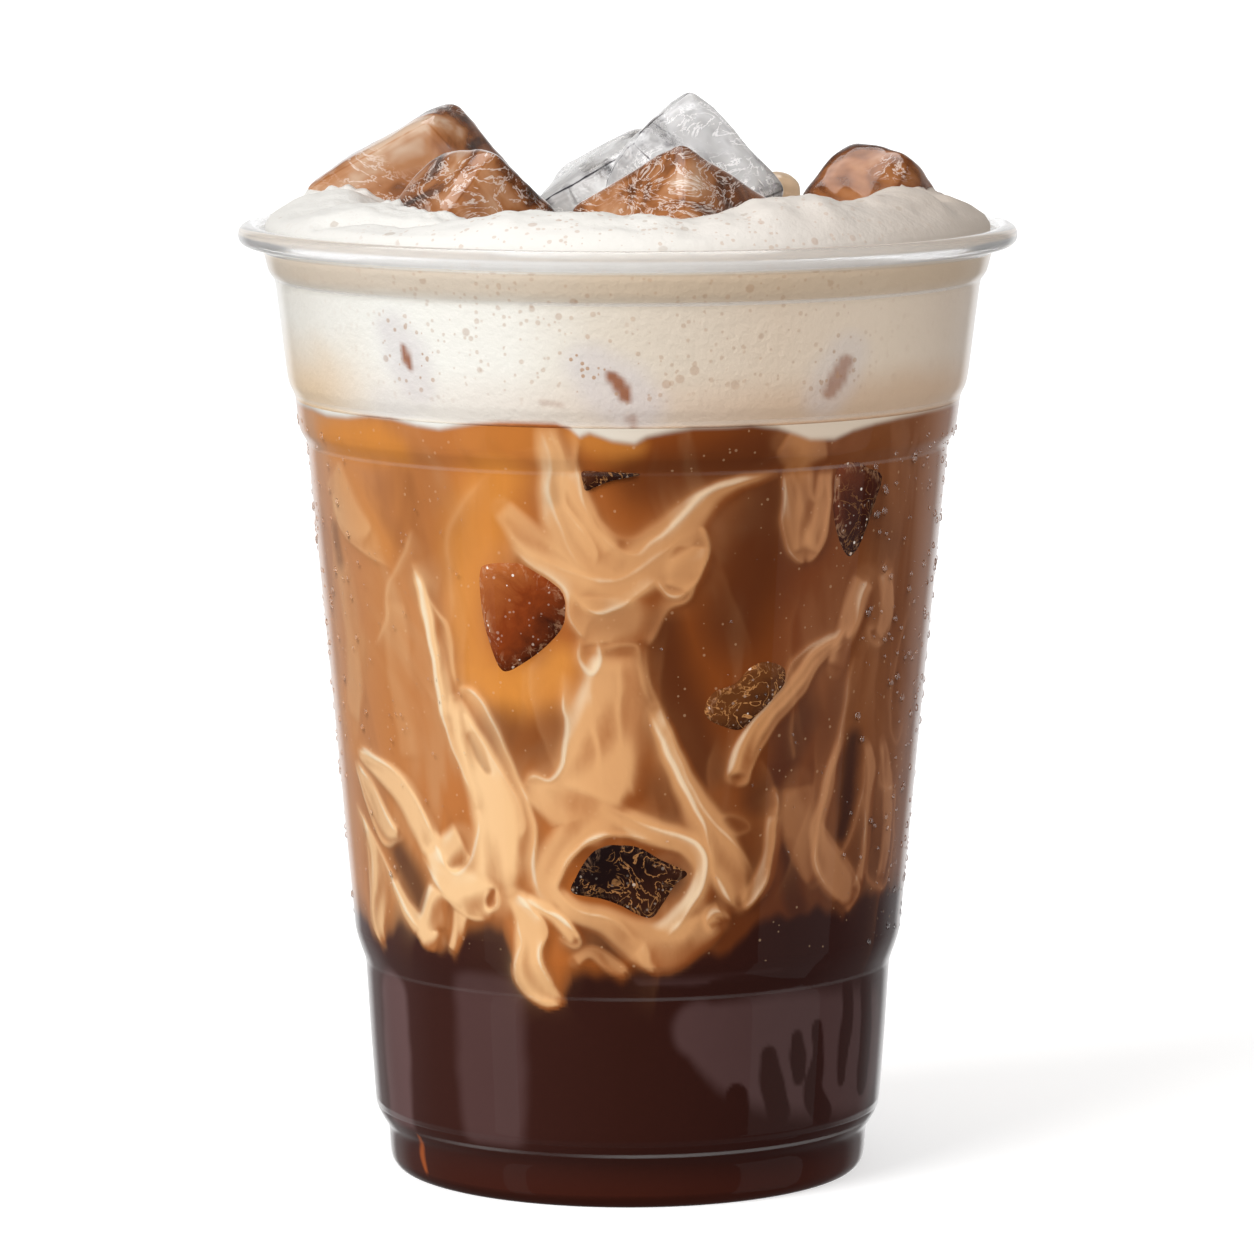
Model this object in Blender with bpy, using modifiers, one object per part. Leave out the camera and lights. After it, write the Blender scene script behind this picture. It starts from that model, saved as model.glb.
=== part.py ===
"""Iced latte in a clear plastic cup, with foam and ice above the rim.

Metres, +Z up, origin at the centre of the base, front facing -Y.
Each list of sizes below is in millimetres and is scaled when it is used.
"""

import math

import bmesh
import bpy
from mathutils import Euler, Matrix, Vector

MM = 0.001

# Cup
SECTORS = 60
FULL_TURN = math.radians(360)
SHARP_ANGLE = math.radians(40)
MERGE_DISTANCE = 0.00002

# Outer side of the cup from the lip down to the middle of the base, radius and height
CUP_OUTSIDE = [
    (46.1, 119.5),
    (46.9, 120.0),
    (48.0, 119.9),
    (48.8, 119.2),
    (48.9, 118.4),
    (48.4, 117.6),
    (47.3, 117.3),
    (46.2, 117.1),
    (45.6, 116.3),
    (45.2, 114.4),
    (44.5, 113.3),
    (44.2, 112.2),
    (43.2, 104.1),
    (42.7, 100.4),
    (41.9, 98.6),
    (41.4, 94.9),
    (40.5, 92.8),
    (40.2, 91.2),
    (37.3, 60.4),
    (34.6, 31.0),
    (34.2, 29.4),
    (33.5, 27.2),
    (33.2, 25.6),
    (32.1, 9.0),
    (31.7, 7.4),
    (30.5, 5.4),
    (30.2, 2.2),
    (29.6, 0.6),
    (28.3, 0.0),
    (26.8, 0.0),
    (25.6, 0.9),
    (24.2, 2.4),
    (0.0, 2.7),
]

# Inner side of the cup, the floor from its middle outward, then the wall up to the lip
CUP_INSIDE_FLOOR = [
    (0.0, 3.7),
    (24.5, 3.4),
    (26.6, 1.6),
    (27.4, 1.0),
    (28.2, 1.0),
]
CUP_INSIDE_WALL = [
    (29.0, 1.7),
    (29.4, 3.0),
    (29.7, 5.6),
    (30.9, 7.6),
    (31.3, 9.1),
    (32.4, 25.7),
    (32.7, 27.4),
    (33.4, 29.6),
    (33.8, 31.1),
    (36.5, 60.4),
    (39.4, 91.3),
    (39.7, 93.0),
    (40.6, 95.0),
    (41.1, 98.8),
    (41.9, 100.6),
    (42.4, 104.2),
    (43.4, 112.3),
    (43.7, 113.5),
    (44.4, 114.6),
    (44.8, 116.6),
]
CUP_INSIDE_LIP = [(45.3, 118.3)]

# Contents, one body inside the cup that the borders below cut into layers
WALL_GAP = 0.32
FLOOR_GAP = 0.35
CONTENTS_FLOOR = [(27.8, 1.0), (26.9, 1.6), (24.8, 3.4), (0.0, 3.7)]
FOAM_EDGE = [(45.15, 119.6), (45.35, 120.2), (44.9, 120.8)]
FOAM_RINGS = [42.6, 39.5, 36.0, 32.0, 27.0, 21.0, 14.0, 7.0]
FOAM_EDGE_START = 117.5
FOAM_EDGE_RADIUS = 45.0
FOAM_EDGE_FALL = 2.2
FOAM_EDGE_HELD = 119.2

# Foam ridge, heights by angle from the front, positive toward +X
RIDGE_ANGLES = [
    -180, -150, -120, -100, -88, -76, -62, -50, -40, -31, -22, -15, -6,
    3, 12, 18, 26, 35, 46, 56, 64, 72, 80, 90, 105, 120, 150, 180,
]
RIDGE_HEIGHTS = [
    118.2, 118.8, 120.6, 122.8, 124.0, 122.6, 123.3, 122.4, 121.6, 123.0, 123.9, 124.1, 123.8,
    123.2, 123.1, 123.7, 125.2, 125.4, 124.6, 124.7, 125.2, 124.4, 123.7, 123.2, 122.4, 120.6, 118.8, 118.2,
]
RIDGE_RADIUS = 36.5
RIDGE_SPREAD = 7.5
HOLLOW_HEIGHT = 119.6
BACK_EDGE_DROP = 2.6
BACK_START = 5.0
BACK_FULL = 34.0

# Borders between the layers, each wave as its height, its turns along X and Y and its start
BLOCK_SIZE = 54.0
BLOCK_CELLS = 14
BLOCK_TOP = 150.0
BLOCK_BOTTOM = -20.0
FOAM_BORDER = 98.2
FOAM_BORDER_TILT = 0.025
FOAM_WAVES = [(0.40, 0.31, 0.0, 0.9), (0.24, 0.83, -0.40, 0.0), (0.20, 0.0, 0.47, 0.4)]
COFFEE_BORDER = 31.2
COFFEE_WAVES = [(1.02, 0.42, 0.0, 2.1), (0.82, 0.17, 0.39, 0.0), (0.51, 0.90, 0.70, 0.0)]
LAYER_GAP = 0.3

# Ice, each lump as size, taper of its top, edge radius, turn in degrees and centre
ICE_GAP = 0.32
ICE_SEGMENTS = 2
ICE_LUMPS = {
    "ice_left_back": ((27.1, 16.0, 20.9), 0.65, 2.6, (15.4, 50.6, -8.5), (-24.4, 10.7, 120.6)),
    "ice_left_front": ((20.7, 16.6, 18.3), 0.70, 3.0, (-5.4, 40.2, 35.2), (-19.5, -11.4, 118.7)),
    "ice_mid_left": ((24.3, 15.7, 16.4), 0.64, 2.8, (24.1, 45.1, 1.6), (1.9, 31.3, 118.5)),
    "ice_mid_back": ((14.9, 20.9, 15.5), 0.64, 2.8, (68.6, 136.5, -58.1), (7.4, 10.2, 123.7)),
    "ice_mid_front": ((23.2, 16.5, 19.1), 0.77, 2.4, (47.6, -29.1, -26.0), (5.3, -17.2, 117.9)),
    "ice_right": ((15.1, 18.2, 15.1), 0.66, 3.6, (-36.9, 9.9, -33.4), (31.0, 3.9, 120.7)),
    "ice_small": ((6.4, 6.4, 8.0), 0.80, 2.4, (0.0, 12.0, 20.0), (19.2, 26.4, 120.8)),
}
ICE_COLOURS = {
    "ice_left_back": (0.47, 0.25, 0.14),
    "ice_left_front": (0.52, 0.31, 0.19),
    "ice_mid_left": (0.62, 0.61, 0.62),
    "ice_mid_back": (0.78, 0.77, 0.78),
    "ice_mid_front": (0.50, 0.29, 0.18),
    "ice_right": (0.58, 0.36, 0.18),
    "ice_small": (0.66, 0.52, 0.38),
}


def clear_scene():
    for obj in list(bpy.data.objects):
        bpy.data.objects.remove(obj, do_unlink=True)


def make_collection(name):
    group = bpy.data.collections.new(name)
    bpy.context.scene.collection.children.link(group)
    return group


def make_material(name, colour, roughness, alpha=1.0):
    material = bpy.data.materials.new(name)
    material.use_nodes = True
    shader = material.node_tree.nodes["Principled BSDF"]
    shader.inputs["Base Color"].default_value = (*colour, 1.0)
    shader.inputs["Roughness"].default_value = roughness
    shader.inputs["Metallic"].default_value = 0.0
    shader.inputs["Alpha"].default_value = alpha
    return material


def add_object(name, bm, group, material=None):
    mesh = bpy.data.meshes.new(name)
    bm.to_mesh(mesh)
    bm.free()
    obj = bpy.data.objects.new(name, mesh)
    group.objects.link(obj)
    if material is not None:
        mesh.materials.append(material)
    mesh.shade_smooth()
    mesh.set_sharp_from_angle(angle=SHARP_ANGLE)
    return obj


def hide_cutter(obj):
    obj.hide_render = True
    obj.display_type = "WIRE"


def add_profile(bm, points):
    verts = [bm.verts.new((radius * MM, 0.0, height * MM)) for radius, height in points]
    for start, end in zip(verts, verts[1:]):
        bm.edges.new((start, end))


def blend(table_x, table_y, x):
    for index in range(len(table_x) - 1):
        low, high = table_x[index], table_x[index + 1]
        if low <= x <= high:
            share = (x - low) / (high - low)
            smooth = share * share * (3.0 - 2.0 * share)
            return table_y[index] + (table_y[index + 1] - table_y[index]) * smooth
    return table_y[-1]


def inside_radius(height):
    heights = [point[1] for point in CUP_INSIDE_WALL + CUP_INSIDE_LIP]
    radii = [point[0] for point in CUP_INSIDE_WALL + CUP_INSIDE_LIP]
    for index in range(len(heights) - 1):
        if heights[index] <= height <= heights[index + 1]:
            share = (height - heights[index]) / (heights[index + 1] - heights[index])
            return radii[index] + (radii[index + 1] - radii[index]) * share
    return radii[-1]


def foam_height(x, y):
    angle = math.degrees(math.atan2(x, -y))
    radius = math.hypot(x, y)
    ridge = blend(RIDGE_ANGLES, RIDGE_HEIGHTS, angle)
    share = math.exp(-((radius - RIDGE_RADIUS) / RIDGE_SPREAD) ** 2)
    hollow = HOLLOW_HEIGHT - BACK_EDGE_DROP * back_share(y)
    if radius > RIDGE_RADIUS:
        outside = FOAM_EDGE[-1][1] - BACK_EDGE_DROP * back_share(y)
        reach = (radius - RIDGE_RADIUS) / (FOAM_EDGE_RADIUS - RIDGE_RADIUS)
        return ridge + (outside - ridge) * min(reach, 1.0) ** FOAM_EDGE_FALL
    return hollow + (ridge - hollow) * share


def back_share(y):
    share = min(max((y - BACK_START) / (BACK_FULL - BACK_START), 0.0), 1.0)
    return share * share * (3.0 - 2.0 * share)


def wave_sum(waves, x, y):
    return sum(height * math.sin(x * turn_x + y * turn_y + start) for height, turn_x, turn_y, start in waves)


def foam_border(x, y):
    return FOAM_BORDER + FOAM_BORDER_TILT * x + wave_sum(FOAM_WAVES, x, y)


def coffee_border(x, y):
    return COFFEE_BORDER + wave_sum(COFFEE_WAVES, x, y)


def make_cup(group, material):
    bm = bmesh.new()
    add_profile(bm, CUP_INSIDE_FLOOR + CUP_INSIDE_WALL + CUP_INSIDE_LIP + CUP_OUTSIDE)
    cup = add_object("cup", bm, group, material)
    screw = cup.modifiers.new("Turned wall", "SCREW")
    screw.axis = "Z"
    screw.angle = FULL_TURN
    screw.steps = SECTORS
    screw.render_steps = SECTORS
    screw.use_merge_vertices = True
    screw.merge_threshold = MERGE_DISTANCE
    screw.use_smooth_shade = True
    screw.use_normal_calculate = True
    return cup


def contents_mesh():
    side = [(radius - WALL_GAP, height) for radius, height in reversed(CUP_INSIDE_WALL)]
    floor = [(radius, height + FLOOR_GAP) for radius, height in CONTENTS_FLOOR]
    top = [(0.0, FOAM_EDGE[-1][1])]
    top += [(radius, FOAM_EDGE[-1][1]) for radius in reversed(FOAM_RINGS)]
    top += list(reversed(FOAM_EDGE))
    bm = bmesh.new()
    add_profile(bm, top + side + floor)
    bmesh.ops.spin(
        bm,
        geom=bm.verts[:] + bm.edges[:],
        cent=(0.0, 0.0, 0.0),
        axis=(0.0, 0.0, 1.0),
        dvec=(0.0, 0.0, 0.0),
        angle=FULL_TURN,
        steps=SECTORS,
        use_merge=True,
        use_duplicate=False,
    )
    bmesh.ops.remove_doubles(bm, verts=bm.verts[:], dist=MERGE_DISTANCE)
    bmesh.ops.recalc_face_normals(bm, faces=bm.faces[:])
    for vert in bm.verts:
        x, y, z = vert.co / MM
        radius = math.hypot(x, y)
        if z > FOAM_EDGE_START and radius < FOAM_EDGE_RADIUS:
            vert.co.z = foam_height(x, y) * MM
        elif z > FOAM_EDGE_START:
            height = z - BACK_EDGE_DROP * back_share(y)
            limit = inside_radius(height) - WALL_GAP
            scale = min(limit / radius, 1.0) if height < FOAM_EDGE_HELD else 1.0
            vert.co = Vector((x * scale, y * scale, height)) * MM
    return bm


def border_block(name, group, low, high):
    bm = bmesh.new()
    bmesh.ops.create_grid(bm, x_segments=BLOCK_CELLS, y_segments=BLOCK_CELLS, size=BLOCK_SIZE * MM)
    bmesh.ops.triangulate(bm, faces=bm.faces[:], quad_method="FIXED")
    made = bmesh.ops.extrude_face_region(bm, geom=bm.faces[:])
    upper = {item for item in made["geom"] if isinstance(item, bmesh.types.BMVert)}
    for vert in bm.verts:
        level = high if vert in upper else low
        x = vert.co.x / MM
        y = vert.co.y / MM
        vert.co.z = level(x, y) * MM
    bmesh.ops.recalc_face_normals(bm, faces=bm.faces[:])
    block = add_object(name, bm, group)
    hide_cutter(block)
    return block


def lump_mesh(size, taper, edge_radius, turn, centre, grow):
    bm = bmesh.new()
    bmesh.ops.create_cube(bm, size=2.0)
    radius = edge_radius + grow
    for vert in bm.verts:
        narrow = taper if vert.co.z > 0.0 else 1.0
        core = [length * 0.5 - edge_radius for length in size]
        vert.co.x *= (core[0] * narrow + radius) * MM
        vert.co.y *= (core[1] * narrow + radius) * MM
        vert.co.z *= (core[2] + radius) * MM
    bmesh.ops.bevel(
        bm,
        geom=bm.edges[:],
        offset=radius * MM,
        segments=ICE_SEGMENTS,
        profile=0.5,
        affect="EDGES",
        material=-1,
    )
    angles = Euler([math.radians(angle) for angle in turn], "XYZ")
    place = Matrix.Translation(Vector(centre) * MM) @ angles.to_matrix().to_4x4()
    bmesh.ops.transform(bm, matrix=place, verts=bm.verts[:])
    return bm


def add_boolean(obj, name, operation, cutter=None, cutters=None):
    boolean = obj.modifiers.new(name, "BOOLEAN")
    boolean.operation = operation
    boolean.solver = "EXACT"
    if cutters is not None:
        boolean.operand_type = "COLLECTION"
        boolean.collection = cutters
    else:
        boolean.object = cutter


clear_scene()
part = make_collection("iced_latte")
borders = make_collection("border_cutters")
ice_cutters = make_collection("ice_cutters")

clear_plastic = make_material("clear_plastic", (0.86, 0.86, 0.87), 0.06, 0.35)
foam_white = make_material("milk_foam", (0.83, 0.76, 0.67), 0.55)
latte_brown = make_material("latte", (0.45, 0.21, 0.08), 0.25)
coffee_dark = make_material("dark_coffee", (0.055, 0.020, 0.014), 0.15)

make_cup(part, clear_plastic)

above = border_block(
    "foam_region", borders, lambda x, y: foam_border(x, y) + LAYER_GAP, lambda x, y: BLOCK_TOP
)
between = border_block(
    "latte_region", borders, lambda x, y: coffee_border(x, y) + LAYER_GAP, foam_border
)
below = border_block("coffee_region", borders, lambda x, y: BLOCK_BOTTOM, coffee_border)

milk_foam = add_object("milk_foam", contents_mesh(), part, foam_white)
latte = add_object("latte", contents_mesh(), part, latte_brown)
dark_coffee = add_object("dark_coffee", contents_mesh(), part, coffee_dark)
add_boolean(milk_foam, "Above the latte", "INTERSECT", cutter=above)
add_boolean(latte, "Between foam and coffee", "INTERSECT", cutter=between)
add_boolean(dark_coffee, "Below the latte", "INTERSECT", cutter=below)

for lump_name, (size, taper, edge_radius, turn, centre) in ICE_LUMPS.items():
    shade = make_material(lump_name, ICE_COLOURS[lump_name], 0.12, 0.8)
    lump = lump_mesh(size, taper, edge_radius, turn, centre, 0.0)
    add_object(lump_name, lump, part, shade)
    pocket_mesh = lump_mesh(size, taper, edge_radius, turn, centre, ICE_GAP)
    pocket = add_object(lump_name + "_pocket", pocket_mesh, ice_cutters)
    hide_cutter(pocket)
add_boolean(milk_foam, "Pockets for the ice", "DIFFERENCE", cutters=ice_cutters)
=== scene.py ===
"""Iced latte in a clear plastic cup: the looks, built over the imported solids."""

import functools
import math

import bmesh
import bpy
import numpy as np
from mathutils import Matrix, Vector, noise
from mathutils.bvhtree import BVHTree


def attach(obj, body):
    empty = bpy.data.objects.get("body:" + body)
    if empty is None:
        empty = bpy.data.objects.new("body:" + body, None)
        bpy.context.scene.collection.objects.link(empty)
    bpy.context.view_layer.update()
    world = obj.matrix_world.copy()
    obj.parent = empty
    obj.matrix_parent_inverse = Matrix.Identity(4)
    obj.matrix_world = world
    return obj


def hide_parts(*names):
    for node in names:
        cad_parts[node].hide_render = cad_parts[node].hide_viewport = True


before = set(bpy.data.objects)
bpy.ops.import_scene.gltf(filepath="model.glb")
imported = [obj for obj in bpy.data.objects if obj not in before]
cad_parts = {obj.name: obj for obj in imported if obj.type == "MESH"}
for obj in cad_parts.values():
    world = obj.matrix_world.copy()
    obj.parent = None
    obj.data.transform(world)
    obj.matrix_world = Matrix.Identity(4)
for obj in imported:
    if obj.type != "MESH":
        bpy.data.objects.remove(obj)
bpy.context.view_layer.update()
MM = 0.001

# ---------------------------------------------------------------------------
# Cup
# A thin take-away cup, thermoformed from one sheet of clear plastic. Its lip is rolled, and the
# wall steps in three times so that cups stack. The base is pushed up inside a narrow foot ring.
# ---------------------------------------------------------------------------

CUP_OUTSIDE = [
    (46.3, 119.2), (46.7, 119.85), (47.4, 120.0), (48.1, 119.9), (48.7, 119.4), (48.9, 118.7),
    (48.75, 118.0), (48.2, 117.5), (47.3, 117.3), (46.5, 117.2), (45.9, 116.8), (45.6, 116.0),
    (45.35, 115.0), (45.15, 114.3), (44.8, 113.7), (44.45, 113.2), (44.25, 112.5), (44.1, 111.4),
    (43.65, 107.8), (43.2, 104.1), (42.85, 101.4), (42.6, 100.1), (42.2, 99.2), (41.9, 98.5),
    (41.75, 97.6), (41.6, 96.3), (41.4, 94.9), (41.2, 94.1), (40.7, 93.2), (40.4, 92.6),
    (40.25, 91.8), (40.1, 90.0), (38.8, 76.0), (37.3, 60.4), (35.9, 45.0), (34.75, 32.6),
    (34.6, 31.0), (34.4, 30.0), (34.0, 28.7), (33.6, 27.6), (33.35, 26.8), (33.2, 25.6),
    (32.7, 17.5), (32.1, 9.2), (32.0, 8.4), (31.7, 7.5), (31.1, 6.4), (30.6, 5.6), (30.4, 4.8),
    (30.3, 3.4), (30.2, 2.2), (30.0, 1.2), (29.5, 0.45), (28.9, 0.1), (28.3, 0.0), (26.8, 0.0),
    (26.2, 0.2), (25.6, 0.9), (24.9, 1.9), (24.0, 2.45), (20.0, 2.55), (0.0, 2.7),
]
WALL = 0.8
CUP_FLOOR = [(0.0, 3.7), (20.0, 3.55), (24.3, 3.4), (25.6, 2.6), (26.5, 1.7), (27.3, 1.05), (28.1, 0.9)]
CUP_SIDE_TOP = 116.5
INSIDE_LIFT = 0.25
FOOT_RADIUS = 29.0
LIP_INSIDE = [(44.9, 117.0), (45.15, 117.9), (45.6, 118.7)]
CUP_SECTORS = 200
SEAM = 0.00001


class Wire:
    """A shader socket that can be used in sums."""

    def __init__(self, nodes, socket):
        self.nodes = nodes
        self.socket = socket

    def _maths(self, operation, first, second):
        return self.nodes.wire("ShaderNodeMath", {"operation": operation}, {0: first, 1: second})

    def __add__(self, other):
        return self._maths("ADD", self, other)

    def __radd__(self, other):
        return self._maths("ADD", other, self)

    def __sub__(self, other):
        return self._maths("SUBTRACT", self, other)

    def __rsub__(self, other):
        return self._maths("SUBTRACT", other, self)

    def __mul__(self, other):
        return self._maths("MULTIPLY", self, other)

    def __rmul__(self, other):
        return self._maths("MULTIPLY", other, self)

    def __truediv__(self, other):
        return self._maths("DIVIDE", self, other)

    def __rtruediv__(self, other):
        return self._maths("DIVIDE", other, self)

    def __pow__(self, other):
        return self._maths("POWER", self, other)

    def at_least(self, other):
        return self._maths("MAXIMUM", self, other)

    def at_most(self, other):
        return self._maths("MINIMUM", self, other)


class Nodes:
    """The nodes of a material or of the world, under construction."""

    def __init__(self, owner):
        owner.use_nodes = True
        self.tree = owner.node_tree

    def set(self, node, sockets):
        """Links or sets the node's sockets."""
        for key, value in sockets.items():
            socket = node.inputs[key]
            if isinstance(value, Wire):
                self.tree.links.new(value.socket, socket)
            elif hasattr(value, "__len__") and len(value) == 3 and socket.type == "RGBA":
                socket.default_value = (*value, 1.0)
            else:
                socket.default_value = value

    def add(self, kind, settings=None, sockets=None):
        """A new node of any kind, with its settings and sockets."""
        node = self.tree.nodes.new(kind)
        for key, value in (settings or {}).items():
            if key == "stops":
                ramp = node.color_ramp
                while len(ramp.elements) < len(value):
                    ramp.elements.new(1.0)
                for element, (place, colour) in zip(ramp.elements, value):
                    element.position = place
                    element.color = (*colour, 1.0) if len(colour) == 3 else colour
            else:
                setattr(node, key, value)
        self.set(node, sockets or {})
        return node

    def wire(self, kind, settings=None, sockets=None, output=0):
        return Wire(self, self.add(kind, settings, sockets).outputs[output])

    def mix(self, share, first, second):
        """The first colour where the share is 0, and the second where it is 1."""
        node = self.add("ShaderNodeMix", {"data_type": "RGBA"}, {0: share, 6: first, 7: second})
        return Wire(self, node.outputs[2])

    def step(self, value, low, high):
        """A smooth step, from 0 at low to 1 at high."""
        return self.wire(
            "ShaderNodeMapRange",
            {"interpolation_type": "SMOOTHSTEP"},
            {"Value": value, "From Min": low, "From Max": high},
        )

    def ramp(self, value, stops):
        """The colour that belongs to a value, between the colours listed."""
        low, high = stops[0][0], stops[-1][0]
        share = self.wire("ShaderNodeMapRange", None, {"Value": value, "From Min": low, "From Max": high})
        stops = [((place - low) / (high - low), colour) for place, colour in stops]
        return self.wire("ShaderNodeValToRGB", {"stops": stops}, {"Fac": share})

    def split(self, value, kind="ShaderNodeSeparateColor"):
        """The three parts of a colour, or of a place."""
        return [Wire(self, output) for output in self.add(kind, None, {0: value}).outputs]

    def attribute(self, name, output):
        return self.wire("ShaderNodeAttribute", {"attribute_name": name}, None, output)

    def blend(self, share, first, second):
        """One shader over another."""
        return self.wire("ShaderNodeMixShader", None, {0: share, 1: first, 2: second})


class Finish(Nodes):
    """A material under construction."""

    def __init__(self, name, **values):
        self.material = bpy.data.materials.new(name)
        super().__init__(self.material)
        self.shader = self.tree.nodes["Principled BSDF"]
        self.out = self.tree.nodes["Material Output"]
        self.set(self.shader, {key.replace("_", " "): value for key, value in values.items()})

    def place(self):
        return self.wire("ShaderNodeTexCoord", output="Object")

    def place_parts(self):
        return self.split(self.place(), "ShaderNodeSeparateXYZ")

    def grain(self, scale, detail=2.0, rough=0.5, warp=0.0, stretch=(1, 1, 1)):
        """Noise that is fixed in the piece's own space."""
        spot = self.wire("ShaderNodeMapping", None, {"Vector": self.place(), "Scale": stretch})
        return self.wire(
            "ShaderNodeTexNoise",
            None,
            {"Vector": spot, "Scale": scale, "Detail": detail, "Roughness": rough, "Distortion": warp},
        )

    def bump(self, height, distance, strength=1.0):
        normal = self.wire(
            "ShaderNodeBump", None, {"Height": height, "Distance": distance, "Strength": strength}
        )
        self.set(self.shader, {"Normal": normal})


def smooth_path(points, parts):
    """More points on one smooth line through the given points."""
    line = []
    count = len(points)
    for index in range(count - 1):
        before = np.array(points[max(index - 1, 0)], float)
        start = np.array(points[index], float)
        end = np.array(points[index + 1], float)
        after = np.array(points[min(index + 2, count - 1)], float)
        for part in range(parts):
            t = part / parts
            line.append(
                tuple(
                    0.5
                    * (
                        2 * start
                        + (end - before) * t
                        + (2 * before - 5 * start + 4 * end - after) * t * t
                        + (3 * start - before - 3 * end + after) * t * t * t
                    )
                )
            )
    line.append(tuple(points[-1]))
    return line


def turned(points, sectors, start=0.0, sweep=360.0):
    """A solid turned from a profile of radius and height in millimetres."""
    bm = bmesh.new()
    bmesh.ops.create_grid(bm, x_segments=sectors, y_segments=len(points) - 1, size=1.0)
    for vert in bm.verts:
        turn = math.radians(start + (vert.co.x + 1.0) / 2.0 * sweep)
        radius, height = points[round((vert.co.y + 1.0) / 2.0 * (len(points) - 1))]
        vert.co = (radius * MM * math.cos(turn), radius * MM * math.sin(turn), height * MM)
    bmesh.ops.remove_doubles(bm, verts=bm.verts[:], dist=SEAM)
    bmesh.ops.recalc_face_normals(bm, faces=bm.faces[:])
    return bm


def lay_on(piece, name, kind, key, values):
    """Writes a value or a colour on every vertex of the piece, for its material."""
    attribute = piece.data.attributes.new(name, kind, "POINT")
    attribute.data.foreach_set(key, np.asarray(values, np.float32).ravel())


def finished(name, bm, finish, node):
    """The piece's object, riding on the cup and standing for its solid."""
    mesh = bpy.data.meshes.new(name)
    bm.to_mesh(mesh)
    bm.free()
    mesh.shade_smooth()
    mesh.materials.append(finish.material)
    piece = bpy.data.objects.new(name, mesh)
    bpy.context.scene.collection.objects.link(piece)
    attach(piece, "root")
    if node:
        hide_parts(node)
    return piece


outer_rows = [row for row in reversed(CUP_OUTSIDE) if row[0] > FOOT_RADIUS and 0.4 < row[1] < CUP_SIDE_TOP]
outer_heights = [height for radius, height in outer_rows]
outer_radii = [radius for radius, height in outer_rows]


def outer_radius(height):
    """The radius of the wall's outside at a height."""
    return np.interp(height, outer_heights, outer_radii)


cup_inside = [
    (radius - WALL, height + INSIDE_LIFT)
    for radius, height in reversed(CUP_OUTSIDE)
    if radius > FOOT_RADIUS and 1.0 < height < CUP_SIDE_TOP
]
cup_profile = (
    smooth_path(CUP_FLOOR, 2)
    + smooth_path(cup_inside, 2)
    + smooth_path(LIP_INSIDE, 2)
    + smooth_path(CUP_OUTSIDE, 3)
)

# The rolled lip and a thin line along each bend of the wall are painted a milky white: painted highlights
# where these curves catch bright reflections.
LIP_HIGHLIGHT = 0.30
BEND_WIDTH = 0.32
BEND_HIGHLIGHTS = ((113.35, 0.40), (98.8, 0.20), (92.5, 0.10), (27.0, 0.05), (7.0, 0.16))
clear_plastic = Finish(
    "clear_plastic",
    Base_Color=(0.955, 0.955, 0.96),
    Roughness=0.015,
    IOR=1.5,
    Transmission_Weight=1.0,
)
lets_light_in = clear_plastic.wire("ShaderNodeBsdfTransparent", None, {"Color": (0.97, 0.97, 0.97)})
light_path = clear_plastic.add("ShaderNodeLightPath")
shadow_ray = Wire(clear_plastic, light_path.outputs["Is Shadow Ray"])
passes = shadow_ray.at_least(Wire(clear_plastic, light_path.outputs["Is Diffuse Ray"]))
cup_height = clear_plastic.place_parts()[2]
# haze: the share of painted highlight, on the lip and, a little uneven, along each bend
haze = clear_plastic.step(cup_height, 0.1172, 0.1186) * LIP_HIGHLIGHT
unevenness = clear_plastic.step(clear_plastic.grain(28.0, 2.0), 0.30, 0.62)
for bend_height, bend_highlight in BEND_HIGHLIGHTS:
    from_bend = cup_height - bend_height * MM
    in_bend = clear_plastic.step(from_bend * from_bend, (BEND_WIDTH * MM) ** 2, 0.0)
    haze = haze + in_bend * unevenness * bend_highlight
# the opaque milky white of the painted highlights
highlight_plastic = clear_plastic.wire(
    "ShaderNodeBsdfPrincipled",
    None,
    {"Base Color": (0.93, 0.92, 0.91), "Roughness": 0.12, "IOR": 1.5, "Coat Weight": 0.5},
)
with_highlights = clear_plastic.blend(haze, Wire(clear_plastic, clear_plastic.shader.outputs[0]), highlight_plastic)
clear_plastic.set(clear_plastic.out, {0: clear_plastic.blend(passes, with_highlights, lets_light_in)})

finished("cup_wall", turned(cup_profile, CUP_SECTORS), clear_plastic, "cup")

# ---------------------------------------------------------------------------
# Latte
# Milky coffee fills the cup from the dark coffee up to the foam. Milk poured in last hangs in it
# as tan curtains and folds with bright crests, which press against the clear wall.
# Light and shade on the milk's folds, its shadow on the drink and highlights on its crests are painted into
# its colour.
# ---------------------------------------------------------------------------

# The camera that the photo was read through, which also takes the render, in millimetres
CAMERA_BACK = 900.0
CAMERA_HEIGHT = 186.0
CAMERA_PITCH = math.radians(7.4229)
CAMERA_FOCAL = 7178.3
PHOTO_WIDTH = 1254.0
PHOTO_MIDDLE = 627.0
AXIS_IN_PHOTO = 627.7
WALL_TURN = 36.8
MIDDLE_HEIGHT = 60.0
SILHOUETTE = 0.9995
HALF_TURN = math.pi * WALL_TURN


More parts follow.
